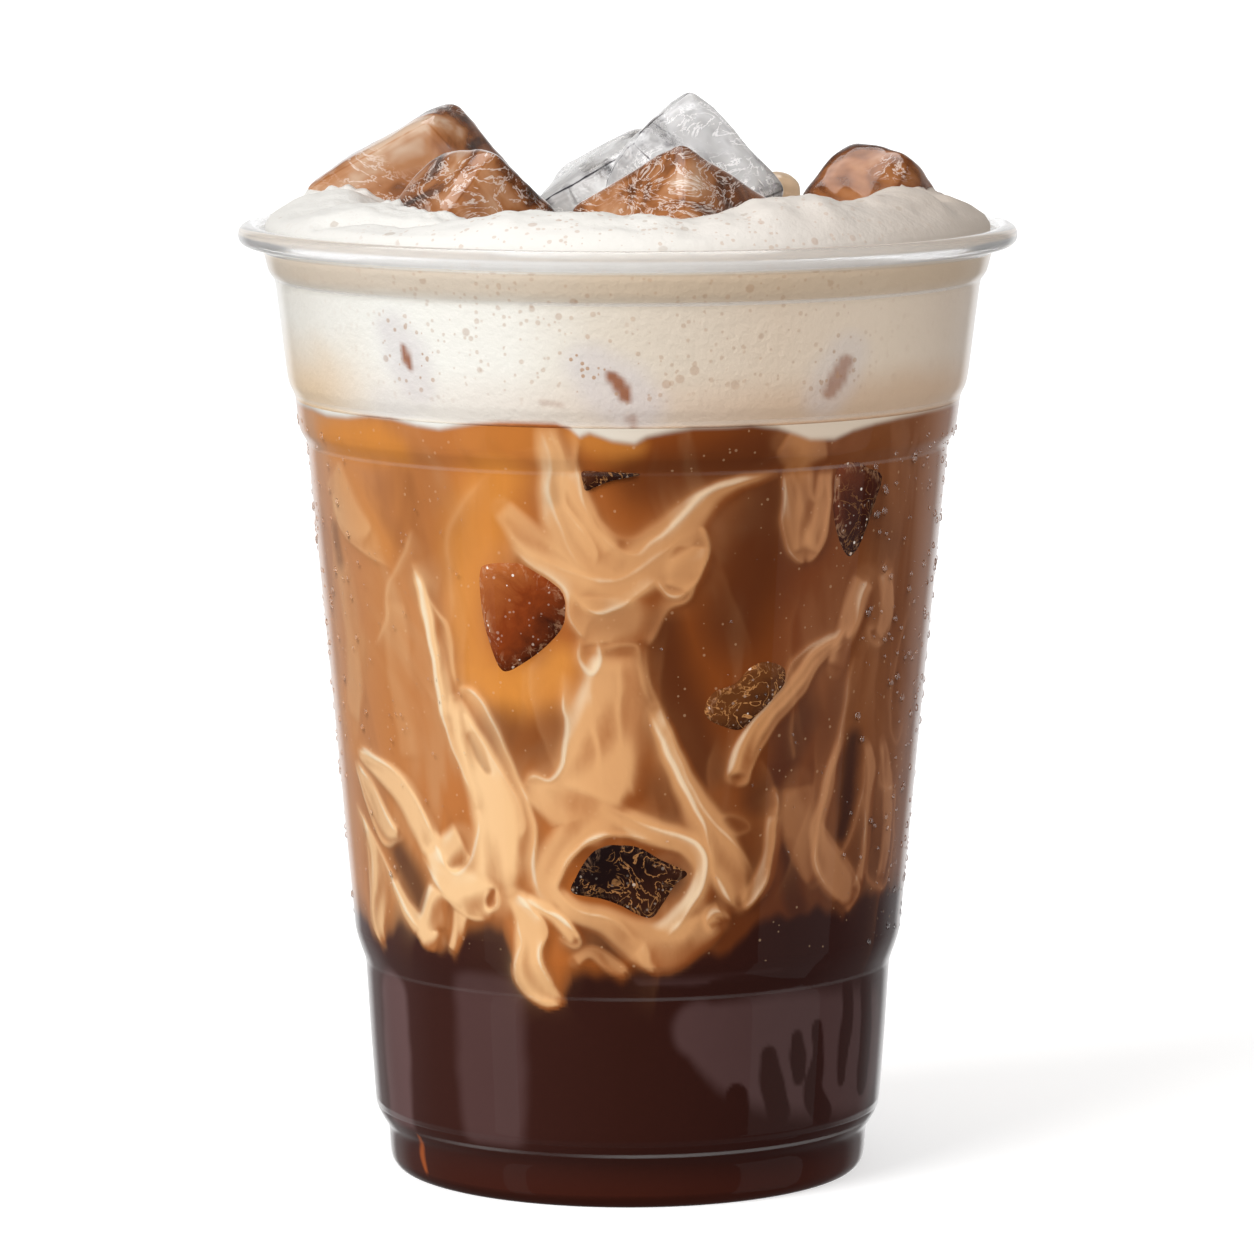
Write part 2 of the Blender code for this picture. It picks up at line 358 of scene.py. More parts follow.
@functools.cache
def on_wall(u, v):
    """Where a point of the photo lies on the cup: distance round the wall and height."""
    across = (u - AXIS_IN_PHOTO) / CAMERA_FOCAL
    up = (PHOTO_MIDDLE - v) / CAMERA_FOCAL
    forward = math.cos(CAMERA_PITCH) + up * math.sin(CAMERA_PITCH)
    rise = up * math.cos(CAMERA_PITCH) - math.sin(CAMERA_PITCH)
    height = MIDDLE_HEIGHT
    side = 0.0
    for _ in range(12):
        radius = float(outer_radius(height))
        side = min(max(side, -radius * SILHOUETTE), radius * SILHOUETTE)
        reach = (CAMERA_BACK - math.sqrt(radius * radius - side * side)) / forward
        side = reach * across
        height = CAMERA_HEIGHT + reach * rise
    radius = float(outer_radius(height))
    side = min(max(side, -radius * SILHOUETTE), radius * SILHOUETTE)
    return math.asin(side / radius) * WALL_TURN, height


def soft(value, low, high):
    """A smooth step, from 0 at low to 1 at high."""
    share = np.clip((value - low) / (high - low), 0, 1)
    return share * share * (3 - 2 * share)


@functools.cache
def wall_line(points, behind):
    """A smooth line on the wall through photo points; behind repeats it, mirrored, at the back."""
    line = []
    for point in points:
        around, height = on_wall(point[0], point[1])
        if behind:
            around, height = HALF_TURN - around, height - 1.2
        line.append((around, height, point[2] if len(point) > 2 else 0.0))
    return np.array(smooth_path(line, 5))


class Chart:
    """The wall unrolled into a grid, on which the drink is painted before it is laid on meshes."""

    def __init__(self, low, high, cell, sway=0.0):
        self.columns = int(2 * HALF_TURN / cell)
        self.cell = 2 * HALF_TURN / self.columns
        self.low = low
        self.rows = int((high - low) / self.cell) + 2
        self.around = -HALF_TURN + np.arange(self.columns) * self.cell
        self.height = low + np.arange(self.rows) * self.cell
        self.sway = sway

    def blank(self):
        return np.zeros((self.rows, self.columns))

    def near(self, line, reach):
        """The cells near a line, their signed gap to it, share along it, and its half width."""
        rows = np.arange(
            max(int((line[:, 1].min() - reach - self.low) / self.cell), 0),
            min(int((line[:, 1].max() + reach - self.low) / self.cell) + 1, self.rows),
        )
        columns = np.arange(
            int((line[:, 0].min() - reach + HALF_TURN) / self.cell),
            int((line[:, 0].max() + reach + HALF_TURN) / self.cell) + 1,
        )
        x, y = np.meshgrid(-HALF_TURN + columns * self.cell, self.low + rows * self.cell)
        bend = np.sin(y * 0.55 + x * 0.3) * 0.6 + np.sin(y * 1.3 - x * 0.9) * 0.3
        bend = bend + np.sin(x * 2.1 + y * 0.4) * 0.15
        x = x + self.sway * bend
        y = y - self.sway * 0.7 * bend
        best = np.full(x.shape, 1e9)
        signed = np.full(x.shape, 1e9)
        along = np.zeros(x.shape)
        width = np.ones(x.shape)
        parts = len(line) - 1
        for index in range(parts if len(rows) else 0):
            ax, ay, aw = line[index]
            bx, by, bw = line[index + 1]
            dx, dy = bx - ax, by - ay
            t = np.clip(((x - ax) * dx + (y - ay) * dy) / max(dx * dx + dy * dy, 1e-9), 0, 1)
            gap = np.hypot(x - ax - t * dx, y - ay - t * dy)
            closer = gap < best
            best = np.where(closer, gap, best)
            signed = np.where(closer, np.where(dx * (y - ay) > dy * (x - ax), gap, -gap), signed)
            along = np.where(closer, (index + t) / parts, along)
            width = np.where(closer, aw + (bw - aw) * t, width)
        return np.ix_(rows, columns % self.columns), signed, along, width

    def covered(self, marks, behind, reach, inner, outer, fade=0.0):
        """The cells near each mark, and how strongly it covers them."""
        for points, strength in marks:
            window, gap, along, width = self.near(wall_line(points, behind), reach)
            yield window, strength * (1 - soft(np.abs(gap), width * inner, width * outer + fade))

    def blur(self, field, spread):
        """The field, softened by a bell curve of the given spread in millimetres."""
        reach = int(math.ceil(2.5 * spread / self.cell))
        offsets = np.arange(-reach, reach + 1)
        weights = np.exp(-0.5 * (offsets * self.cell / spread) ** 2)
        weights /= weights.sum()
        wide = sum(weight * np.roll(field, offset, 1) for offset, weight in zip(offsets, weights))
        padded = np.pad(wide, ((reach, reach), (0, 0)), "edge")
        return sum(
            weight * padded[reach + offset : reach + offset + self.rows]
            for offset, weight in zip(offsets, weights)
        )

    def lit(self, field):
        """How far the field, seen as a height, turns toward a light from the upper left."""
        across = (np.roll(field, -1, 1) - np.roll(field, 1, 1)) / (2 * self.cell)
        up = np.gradient(field, self.cell, axis=0)
        return 0.75 * across - 0.65 * up

    def read(self, field, around, height):
        """The field's values at the given places."""
        column = (around + HALF_TURN) / self.cell
        row = np.clip((height - self.low) / self.cell, 0, self.rows - 1.001)
        left = np.floor(column).astype(int)
        under = np.floor(row).astype(int)
        u = column - left
        v = row - under
        left %= self.columns
        right = (left + 1) % self.columns
        above = under + 1
        lower = field[under, left] * (1 - u) + field[under, right] * u
        upper = field[above, left] * (1 - u) + field[above, right] * u
        return lower * (1 - v) + upper * v


# Sheets of milk: points in the photo's pixels with the half width in millimetres, then strength
MILK_SHEETS = (
    (((546, 426, 1.6), (556, 480, 2.2), (566, 520, 3.0), (590, 558, 3.8), (625, 578, 3.4),
      (655, 558, 3.4), (690, 520, 2.4), (730, 488, 1.2), (775, 474, 0.5)), 0.60),
    (((500, 508, 1.4), (528, 540, 2.2), (556, 568, 2.0), (586, 594, 2.4)), 0.45),
    (((566, 470, 1.6), (584, 520, 1.8), (606, 556, 2.0)), 0.55),
    (((612, 596, 4.6), (612, 620, 4.6), (614, 645, 4.0)), 0.50),
    (((612, 655, 3.2), (610, 700, 4.4), (604, 740, 5.2), (598, 775, 5.4), (590, 800, 4.6)), 0.86),
    (((690, 545, 2.0), (687, 568, 2.6), (678, 590, 1.6)), 0.62),
    (((524, 790, 0.8), (560, 806, 3.0), (592, 818, 3.5), (562, 850, 2.5), (546, 885, 2.0),
      (556, 908, 1.4)), 0.62),
    (((654, 708, 0.9), (672, 752, 1.4), (694, 800, 2.0), (716, 842, 2.8), (733, 880, 2.5),
      (742, 904, 1.0)), 0.80),
    (((742, 906, 1.2), (762, 885, 1.4), (772, 850, 1.2), (777, 815, 1.0)), 0.55),
    (((612, 812, 1.2), (650, 832, 1.8), (690, 846, 1.8), (706, 868, 1.6), (700, 895, 1.8),
      (684, 920, 2.2), (666, 945, 2.6)), 0.78),
    (((556, 892, 1.0), (575, 912, 1.4), (605, 922, 1.8), (636, 940, 2.8), (668, 948, 3.4),
      (700, 934, 2.6), (720, 922, 1.6)), 0.70),
    (((414, 575, 0.5), (428, 620, 1.0), (438, 670, 1.1), (447, 720, 1.1)), 0.85),
    (((454, 700, 0.8), (468, 740, 2.2), (484, 780, 3.2), (496, 820, 3.6), (498, 855, 3.6),
      (490, 890, 3.6)), 1.0),
    (((430, 848, 1.2), (448, 880, 2.6), (474, 896, 3.2), (495, 904, 2.2)), 1.0),
    (((424, 838, 1.6), (440, 852, 2.2), (462, 842, 2.4)), 0.85),
    (((357, 752, 0.5), (376, 768, 1.4), (400, 790, 2.2), (418, 822, 2.2), (432, 852, 2.0)), 0.85),
    (((358, 768, 0.5), (372, 798, 1.5), (386, 826, 1.6), (398, 834, 0.8)), 0.78),
    (((362, 818, 0.4), (372, 850, 1.3), (378, 888, 2.4), (377, 920, 2.2), (382, 942, 0.6)), 0.86),
    (((392, 880, 0.7), (404, 906, 1.2), (418, 926, 1.6)), 0.78),
    (((438, 890, 1.8), (432, 912, 2.4), (426, 932, 2.2), (436, 942, 1.4)), 0.95),
    (((460, 914, 1.0), (455, 934, 1.0), (450, 950, 0.6)), 0.75),
    (((512, 893, 1.2), (528, 920, 2.0), (530, 950, 2.2), (530, 975, 2.6), (545, 994, 2.0),
      (560, 1000, 0.6)), 0.84),
    (((524, 900, 0.9), (546, 912, 1.1), (564, 926, 1.1), (575, 941, 0.8)), 0.90),
    (((574, 962, 0.8), (590, 952, 0.8), (612, 966, 1.0), (626, 974, 0.6)), 0.55),
    (((636, 950, 1.4), (648, 962, 1.0), (655, 970, 0.5)), 0.6),
    (((852, 630, 0.5), (822, 652, 0.8), (796, 684, 1.1), (770, 716, 1.1), (750, 742, 1.2),
      (741, 764, 1.4), (739, 777, 1.3)), 0.90),
    (((868, 580, 2.2), (858, 606, 2.4), (848, 634, 1.8), (838, 668, 1.4)), 0.66),
    (((888, 570, 1.4), (890, 610, 1.4), (880, 636, 0.9)), 0.60),
    (((800, 785, 2.4), (800, 820, 2.8), (806, 850, 2.2), (815, 880, 1.2)), 0.42),
    (((842, 740, 0.6), (826, 800, 1.1), (820, 836, 1.3), (832, 868, 2.6), (846, 888, 2.2),
      (848, 904, 0.7)), 0.62),
    (((868, 742, 0.5), (874, 770, 1.0), (870, 812, 0.9), (866, 860, 0.9), (858, 890, 1.0)), 0.5),
    (((884, 740, 0.7), (890, 790, 1.4), (888, 840, 1.4), (882, 878, 1.2)), 0.55),
    (((722, 912, 1.2), (712, 918, 1.6), (716, 926, 1.4)), 0.6),
    (((790, 472, 0.8), (798, 520, 1.5), (806, 550, 1.5)), 0.50),
    (((828, 472, 1.0), (822, 520, 1.3), (812, 552, 1.2)), 0.55),
    (((786, 442, 1.6), (806, 452, 2.4), (830, 444, 1.8)), 0.45),
    (((808, 470, 1.2), (808, 515, 1.4), (808, 552, 1.3)), 0.42),
    (((330, 470, 3.2), (345, 510, 3.4), (366, 540, 2.0)), 0.28),
    (((340, 560, 2.4), (352, 640, 2.6), (352, 720, 2.4)), 0.22),
    (((392, 600, 2.0), (398, 680, 2.4), (410, 760, 2.2)), 0.16),
)

# Crests, bright lines of painted highlight on the milk's edges, with a glow of milk on their left and right
# sides, going along them:
# points in the photo's pixels, glow on either side in millimetres, strength
MILK_CRESTS = (
    (((332, 494), (336, 519), (345, 538), (361, 552), (391, 569)), 1.6, 0.2, 0.30),
    (((412, 529), (400, 554), (386, 588), (383, 618), (373, 648)), 1.2, 0.2, 0.40),
    (((408, 561), (419, 591), (428, 641), (437, 694), (448, 740), (462, 775), (477, 808)), 1.4, 0.22, 0.95),
    (((477, 808), (478, 833), (471, 855), (460, 871), (450, 872), (441, 860), (432, 840)), 1.2, 0.22, 0.75),
    (((432, 840), (418, 806), (397, 775), (377, 759), (357, 744)), 1.2, 0.22, 0.9),
    (((412, 568), (423, 591), (437, 614), (448, 630), (451, 664), (453, 690)), 0.3, 0.9, 0.5),
    (((492, 474), (464, 499), (451, 519), (446, 542), (448, 584), (451, 630)), 1.0, 0.5, 0.25),
    (((454, 688), (469, 690), (483, 706), (500, 738), (516, 775), (530, 812), (535, 843), (533, 869),
      (538, 892)), 0.3, 1.2, 0.95),
    (((461, 712), (473, 729), (485, 747), (497, 767), (514, 796), (522, 822), (519, 841)), 0.35, 1.0, 0.6),
    (((562, 670), (564, 708), (566, 722), (564, 745), (560, 767), (550, 781), (534, 777), (522, 788)),
      1.4, 0.25, 0.95),
    (((644, 704), (659, 733), (677, 771), (692, 802), (704, 826), (711, 851), (718, 877), (730, 900),
      (741, 910)), 0.8, 0.6, 0.85),
    (((741, 910), (755, 902), (767, 880), (773, 851), (779, 814), (779, 798), (775, 786)), 0.6, 0.3, 0.7),
    (((649, 648), (648, 674), (657, 702), (672, 738), (692, 786), (710, 818), (731, 839), (747, 859),
      (757, 880)), 0.25, 1.2, 0.55),
    (((606, 806), (637, 822), (661, 831), (688, 839), (702, 849), (707, 863), (705, 884), (690, 906),
      (676, 928), (665, 943)), 0.6, 0.7, 0.85),
    (((665, 846), (641, 839), (616, 836), (591, 840), (572, 855), (561, 877), (556, 889), (565, 902),
      (581, 912), (616, 922), (637, 943)), 0.3, 1.2, 0.80),
    (((510, 898), (518, 928), (522, 945), (514, 961), (512, 974), (520, 990), (536, 1000), (554, 1004),
      (563, 999)), 0.8, 0.25, 0.6),
    (((514, 892), (526, 906), (542, 922), (545, 935), (540, 951), (542, 967), (552, 985), (563, 999)),
      0.3, 0.9, 0.8),
    (((522, 896), (542, 910), (560, 918), (575, 933), (579, 943), (571, 947), (556, 936)), 0.3, 0.6, 0.8),
    (((353, 759), (359, 782), (369, 814), (379, 839), (389, 847), (403, 839)), 1.0, 0.22, 0.75),
    (((354, 761), (369, 780), (379, 802), (391, 826), (397, 833)), 0.4, 0.6, 0.6),
    (((354, 802), (363, 820), (375, 843), (387, 869), (399, 898), (411, 920), (420, 931)), 0.3, 0.9, 0.85),
    (((364, 830), (369, 880), (370, 920), (380, 942)), 0.7, 0.25, 0.5),
    (((420, 855), (432, 877), (444, 896), (459, 912), (473, 920), (487, 921)), 0.9, 0.3, 0.55),
    (((491, 884), (484, 900), (488, 911), (496, 905), (493, 888)), 0.3, 0.5, 0.7),
    (((538, 425), (547, 450), (549, 467), (547, 492), (556, 515), (566, 542), (576, 563), (588, 569)),
      0.5, 0.3, 0.45),
    (((588, 569), (596, 558), (590, 541), (573, 519), (563, 501), (561, 476), (563, 464), (554, 439),
      (549, 425)), 0.5, 0.4, 0.5),
    (((568, 425), (577, 441), (576, 467), (582, 499), (596, 529), (616, 549), (636, 556), (652, 543),
      (671, 527), (694, 506), (713, 490), (751, 478), (779, 471)), 0.3, 1.4, 0.62),
    (((508, 545), (529, 565), (552, 579), (566, 593), (569, 616), (579, 634), (586, 638)), 1.4, 0.25, 0.7),
    (((568, 590), (586, 609), (600, 614), (618, 607), (640, 592), (659, 579)), 1.0, 0.4, 0.7),
    (((659, 579), (661, 587), (671, 597), (685, 596), (701, 579), (708, 551), (706, 534), (699, 527)),
      1.0, 0.3, 0.8),
    (((701, 579), (690, 600), (671, 607), (661, 619), (654, 636), (650, 648)), 0.25, 0.8, 0.6),
    (((504, 524), (520, 549), (543, 561), (566, 570), (596, 580), (624, 578), (647, 565), (671, 546),
      (694, 525)), 0.8, 0.7, 0.4),
    (((584, 480), (592, 510), (612, 534), (634, 540), (656, 526), (690, 500), (740, 482)), 0.9, 0.8, 0.3),
    (((580, 636), (578, 656), (584, 670), (593, 672), (600, 657), (599, 641)), 0.5, 0.4, 0.75),
    (((600, 650), (620, 646), (636, 646), (641, 656), (643, 680), (651, 708)), 0.4, 0.6, 0.45),
    (((590, 690), (596, 740), (602, 790)), 0.9, 0.9, 0.25),
    (((620, 660), (618, 700), (624, 760), (634, 800)), 0.7, 0.7, 0.25),
    (((855, 622), (831, 636), (810, 650), (794, 664), (782, 685), (765, 709), (746, 732), (733, 756),
      (729, 778), (737, 787)), 0.8, 0.22, 0.55),
    (((737, 787), (748, 784), (753, 768), (762, 748), (782, 720), (806, 690), (824, 662), (850, 640)),
      0.7, 0.22, 0.7),
    (((883, 563), (894, 589), (893, 622), (883, 643), (873, 640), (871, 629), (882, 626)), 0.5, 0.3, 0.5),
    (((872, 575), (862, 600), (856, 622), (848, 640)), 0.6, 0.5, 0.5),
    (((857, 655), (852, 678), (845, 712), (841, 740), (836, 761), (826, 794), (820, 826), (817, 859),
      (820, 874), (831, 890), (847, 906)), 0.8, 0.25, 0.65),
    (((822, 822), (835, 841), (844, 852), (853, 831), (861, 806), (867, 777), (866, 741)), 0.25, 0.8, 0.5),
    (((844, 852), (857, 875), (861, 890), (853, 904), (847, 911)), 0.3, 0.8, 0.5),
    (((865, 790), (866, 843), (863, 884)), 0.5, 0.5, 0.4),
    (((884, 741), (882, 777), (886, 788), (896, 790), (896, 814), (894, 843), (890, 873), (884, 888),
      (874, 884), (869, 873), (875, 843)), 0.4, 0.5, 0.5),
    (((796, 695), (794, 730), (796, 761)), 0.3, 0.3, 0.3),
    (((914, 600), (900, 648), (893, 695), (893, 730), (899, 742), (907, 716)), 0.4, 0.4, 0.35),
    (((732, 920), (722, 912), (711, 914), (706, 924), (712, 934)), 0.5, 0.3, 0.5),
    (((786, 468), (784, 518), (789, 546), (798, 560), (808, 563)), 0.8, 0.2, 0.70),
    (((808, 563), (819, 556), (827, 537), (831, 499), (836, 468)), 0.8, 0.2, 0.70),
    (((812, 468), (811, 490), (817, 500), (824, 490), (825, 468)), 0.6, 0.2, 0.35),
    (((716, 820), (732, 816), (748, 822), (750, 830), (736, 834), (718, 830)), 0.3, 0.3, 0.25),
)

# Golden light in the latte, points with half width in millimetres, then strength
GOLD_POOLS = (
    (((325, 440, 2.0), (345, 438, 2.6), (372, 440, 2.2), (396, 450, 1.2)), 0.8),
    (((496, 478, 3.0), (480, 510, 3.6), (466, 560, 3.0), (462, 620, 1.6), (476, 668, 2.4)), 0.85),
    (((470, 672, 2.0), (500, 688, 2.8), (540, 684, 2.8), (558, 664, 1.8)), 0.95),
    (((580, 436, 1.2), (610, 446, 1.4), (632, 448, 1.0)), 0.6),
    (((470, 440, 2.0), (520, 436, 2.8), (545, 440, 1.8)), 0.35),
    (((345, 480, 2.6), (362, 520, 3.0), (380, 545, 1.8)), 0.35),
    (((345, 700, 2.0), (350, 740, 2.4)), 0.35),
    (((800, 470, 1.0), (806, 440, 1.2)), 0.3),
)

# Darker, clearer coffee between the curtains, in the same way
DARK_POOLS = (
    (((500, 730, 2.6), (530, 742, 3.4), (552, 728, 2.2)), 0.48),
    (((770, 500, 3.5), (755, 560, 5.0), (735, 620, 4.4)), 0.55),
    (((640, 480, 3.0), (690, 470, 3.4), (760, 452, 3.0)), 0.50),
    (((665, 628, 2.0), (672, 680, 3.0), (690, 730, 3.0), (708, 772, 2.2)), 0.62),
    (((800, 720, 3.2), (784, 765, 2.4), (760, 800, 2.0)), 0.62),
    (((854, 740, 1.2), (850, 790, 1.6), (844, 834, 0.9)), 0.95),
    (((790, 850, 1.2), (793, 890, 2.0), (800, 912, 2.6)), 0.75),
    (((840, 700, 2.5), (800, 800, 1.0)), 0.25),
    (((398, 856, 1.6), (412, 882, 2.2), (420, 902, 1.6)), 0.80),
    (((334, 530, 0.7), (338, 560, 0.8)), 0.5),
    (((586, 934, 2.4), (606, 944, 2.2)), 0.75),
    (((600, 868, 2.0), (640, 880, 2.6), (672, 880, 1.6)), 0.60),
    (((870, 500, 2.6), (890, 540, 2.6)), 0.3),
    (((470, 745, 0.6), (484, 768, 0.7)), 0.45),
    (((660, 790, 2.0), (672, 812, 1.4)), 0.45),
    (((555, 478, 0.5), (554, 500, 0.5)), 0.55),
    (((372, 800, 0.5), (383, 826, 0.6)), 0.3),
    (((604, 622, 2.2), (630, 630, 2.2)), 0.30),
    (((420, 480, 3.4), (440, 530, 3.4), (424, 590, 1.6)), 0.16),
    (((500, 640, 1.0), (540, 655, 1.0)), 0.1),
)

# Holes that show the drink through the milk
MILK_HOLES = (
    (((490, 892, 0.3), (489, 903, 0.6)), 0.9),
    (((472, 738, 0.5), (480, 756, 0.7), (486, 770, 0.3)), 0.5),
    (((592, 866, 2.2), (625, 876, 3.8), (668, 878, 3.2)), 1.0),
    (((392, 808, 0.5), (400, 822, 0.6)), 0.3),
    (((500, 590, 2.6), (522, 620, 4.0), (516, 650, 2.4)), 1.0),
)

# Upper edge of the dark coffee and lower edge of the foam across the front, in the photo's pixels
COFFEE_EDGE = (
    (340, 905), (362, 912), (380, 944), (388, 930), (400, 917), (414, 928), (424, 944), (446, 948),
    (452, 956), (462, 934), (476, 924), (500, 926), (512, 962), (530, 990), (560, 1003), (572, 972),
    (600, 972), (622, 978), (650, 962), (700, 952), (732, 950), (744, 934), (768, 914), (800, 912),
    (818, 904), (846, 912), (862, 892), (886, 886), (905, 884),
)
FOAM_EDGE = (
    (311, 409), (325, 416), (345, 418), (366, 416), (389, 419), (414, 426), (437, 430), (455, 427),
    (474, 424), (497, 422), (520, 422), (554, 423), (569, 429), (579, 438), (589, 434), (612, 442),
    (635, 445), (647, 438), (666, 434), (694, 429), (730, 428), (753, 426), (779, 429), (798, 435),
    (812, 440), (836, 440), (855, 431), (878, 424), (902, 418), (928, 412),
)
LATTE_LOW = 31.2
LATTE_HIGH = 98.2
REACH_INTO_WALL = 0.1
MILK_RELIEF = 0.46
HAZE_WIDTH = 3.0
SHADE_SHIFT = 0.5
# Where the borders of the coffee and of the foam lie at the back
COFFEE_LEVEL = 32.5
FOAM_LEVEL = 98.0
CHART_LOW = 1.0
CHART_HIGH = 101.0
CHART_CELL = 0.2
CHART_SWAY = 0.22
# Ranges in mm that the veils of milk are drawn from, and of how strong they are
VEIL_COUNT = 90
VEIL_POINTS = 9
VEIL_TOPS = (52.0, 98.0)
VEIL_LENGTHS = (10.0, 34.0)
VEIL_BENDS = (-5.0, 5.0)
VEIL_SPREADS = (0.5, 2.4)
VEIL_STRENGTHS = (0.06, 0.24)


def edge_level(around, edge, behind_level):
    """The height of a border at each place; the back repeats the front's waves, smaller."""
    places = np.array([on_wall(u, v) for u, v in edge])
    wrapped = (around + HALF_TURN) % (2 * HALF_TURN) - HALF_TURN
    front = np.interp(wrapped, places[:, 0], places[:, 1])
    mirrored = np.interp(np.sign(wrapped) * HALF_TURN - wrapped, places[:, 0], places[:, 1])
    share = soft(np.abs(wrapped), HALF_TURN * 0.42, HALF_TURN * 0.58)
    return front * (1 - share) + (behind_level + (mirrored - behind_level) * 0.7) * share


def add_share(field, window, amount):
    """Fills that share of what the field still lacks of 1."""
    part = field[window]
    field[window] = part + (1 - part) * amount


def raise_to(field, window, amount):
    """Lifts the field where it is below the amount."""
    field[window] = np.maximum(field[window], amount)


def hang_veils(chart, milk):
    """Faint veils of milk all round the cup, sharp on one side and soft on the other."""
    veils = np.random.default_rng(7)
    for number in range(VEIL_COUNT):
        start = veils.uniform(-HALF_TURN, HALF_TURN)
        top = veils.uniform(*VEIL_TOPS)
        length = veils.uniform(*VEIL_LENGTHS)
        bend = veils.uniform(*VEIL_BENDS)
        spread = veils.uniform(*VEIL_SPREADS)
        side = veils.choice([-1.0, 1.0])
        strength = veils.uniform(*VEIL_STRENGTHS)
        steps = np.linspace(0, 1, VEIL_POINTS)
        curve = start + bend * steps + np.sin(steps * 5 + number) * 1.2
        line = np.stack([curve, top - length * steps, np.full(VEIL_POINTS, spread)], 1)
        window, gap, along, width = chart.near(line, 7.0)
        fade = soft(along, 0.0, 0.3) * soft(1 - along, 0.0, 0.4)
        veil = np.where(gap * side > 0, np.exp(-np.abs(gap) / spread), np.exp(-((gap / 0.3) ** 2)))
        add_share(milk, window, strength * veil * fade)


def pour_milk(chart, behind, milk, folds, crest, glow):
    """The sheets of milk with their folds, the holes in them, and their bright crests."""
    for number, (points, strength) in enumerate(MILK_SHEETS):
        window, gap, along, width = chart.near(wall_line(points, behind), 8.0)
        across = gap / width
        body = 1 - soft(np.abs(across), 0.6, 1.1 + 0.3 / width)
        fade = soft(along, -0.05, 0.1) * soft(1 - along, -0.05, 0.1)
        add_share(milk, window, strength * body * fade)
        # painted light and shade across each sheet, in bands as if it were folded
        bends = 0.36 * across + 0.30 * np.sin(along * 4 + number) + number * 0.37
        part = folds[window]
        drape = 0.5 + 0.5 * np.cos(2 * math.pi * bends)
        folds[window] = part * (1 - body * fade) + drape * body * fade
    for window, share in chart.covered(MILK_HOLES, behind, 8.0, 0.8, 1.0, 0.5):
        milk[window] *= 1 - share
        folds[window] *= 1 - share
    for number, (points, left, right, strength) in enumerate(MILK_CRESTS):
        window, gap, along, width = chart.near(wall_line(points, behind), 8.0)
        left_side = gap < 0 if behind else gap > 0
        side = np.where(left_side, left, right)
        fade = soft(along, -0.02, 0.16) * soft(1 - along, -0.02, 0.16)
        swell = 0.66 + 0.34 * np.sin(along * 9 + number * 1.7)
        line = strength * np.exp(-((gap / (0.17 + 0.12 * swell)) ** 2)) * fade * swell
        spill = strength * np.exp(-np.abs(gap) / side) * fade
        haze = strength * np.exp(-np.abs(gap) / (side * HAZE_WIDTH)) * fade
        raise_to(crest, window, line)
        raise_to(glow, window, spill)
        add_share(milk, window, 0.66 * spill + 0.16 * haze)


def painted_drink(chart):
    """Fields of the drink: milk, how light its folds are painted, gold, dark with the milk's painted
    shadow, froth and relief.
    """
    milk, folds, crest, glow, gold, dark = [chart.blank() for field in range(6)]
    hang_veils(chart, milk)
    for behind in (False, True):
        for window, share in chart.covered(DARK_POOLS, behind, 9.0, 0.2, 1.7, 0.8):
            raise_to(dark, window, share)
        for window, share in chart.covered(GOLD_POOLS, behind, 9.0, 0.2, 1.8, 0.8):
            raise_to(gold, window, share)
        pour_milk(chart, behind, milk, folds, crest, glow)
    # light on the folds, from fine ones to broad ones
    relief = milk * (0.55 + 0.20 * folds) + 0.25 * glow + 0.35 * crest
    fine_light = chart.lit(chart.blur(relief, 0.16))
    broad_light = chart.lit(chart.blur(relief, 0.55))
    drape_light = chart.lit(chart.blur(folds * milk, 0.9))
    # shine: the milk painted lighter on its folds, glows and crests, with painted light and shade from the
    # relief
    shine = 0.22 + 0.30 * folds + 0.36 * glow + 0.46 * crest
    shine += 0.12 * fine_light + 0.45 * broad_light + 0.55 * drape_light
    # the milk's shade on the drink, down to its right
    shift = int(SHADE_SHIFT / chart.cell)
    hidden = np.roll(chart.blur(relief, 0.6), (-shift, shift), (0, 1))
    shade = np.clip(hidden - relief, 0, 1) * 0.75
    # darker drink low on the right, and the coffee's border, which gives way to the milk
    around, height = np.meshgrid(chart.around, chart.height)
    right = soft(around, 2.0, 14.0) * (1 - soft(around, 36.0, 50.0))
    low = soft(60.0 - height, 0.0, 24.0)
    dark = np.maximum(dark, 0.5 * right * low)
    # the milk's painted shadow darkens the drink
    dark = 1 - (1 - dark) * (1 - shade)
    level = edge_level(chart.around, COFFEE_EDGE, COFFEE_LEVEL)[None, :] + 0.25 * np.sin(around * 1.9)
    coffee = 0.55 * soft(level - height, -6.0, 1.0) ** 2 + 0.45 * soft(level - height, -0.8, 1.4)
    coffee *= 1 - 0.9 * soft(milk, 0.1, 0.7)
    dark = np.maximum(dark, coffee)
    froth = soft(height - edge_level(chart.around, FOAM_EDGE, FOAM_LEVEL)[None, :], -0.35, 0.5)
    surface = MILK_RELIEF * np.clip(relief, 0, 1.1) * (1 - froth) + 0.25 * froth
    return [milk, np.clip(shine, 0, 1), gold, dark, froth, surface]


chart = Chart(CHART_LOW, CHART_HIGH, CHART_CELL, CHART_SWAY)
MILK, SHINE, GOLD, DARK_AND_SHADE, FROTH, RELIEF = painted_drink(chart)


def inner_radius(height):
    """The radius of the wall's inside at a height."""
    return outer_radius(height - INSIDE_LIFT) - WALL


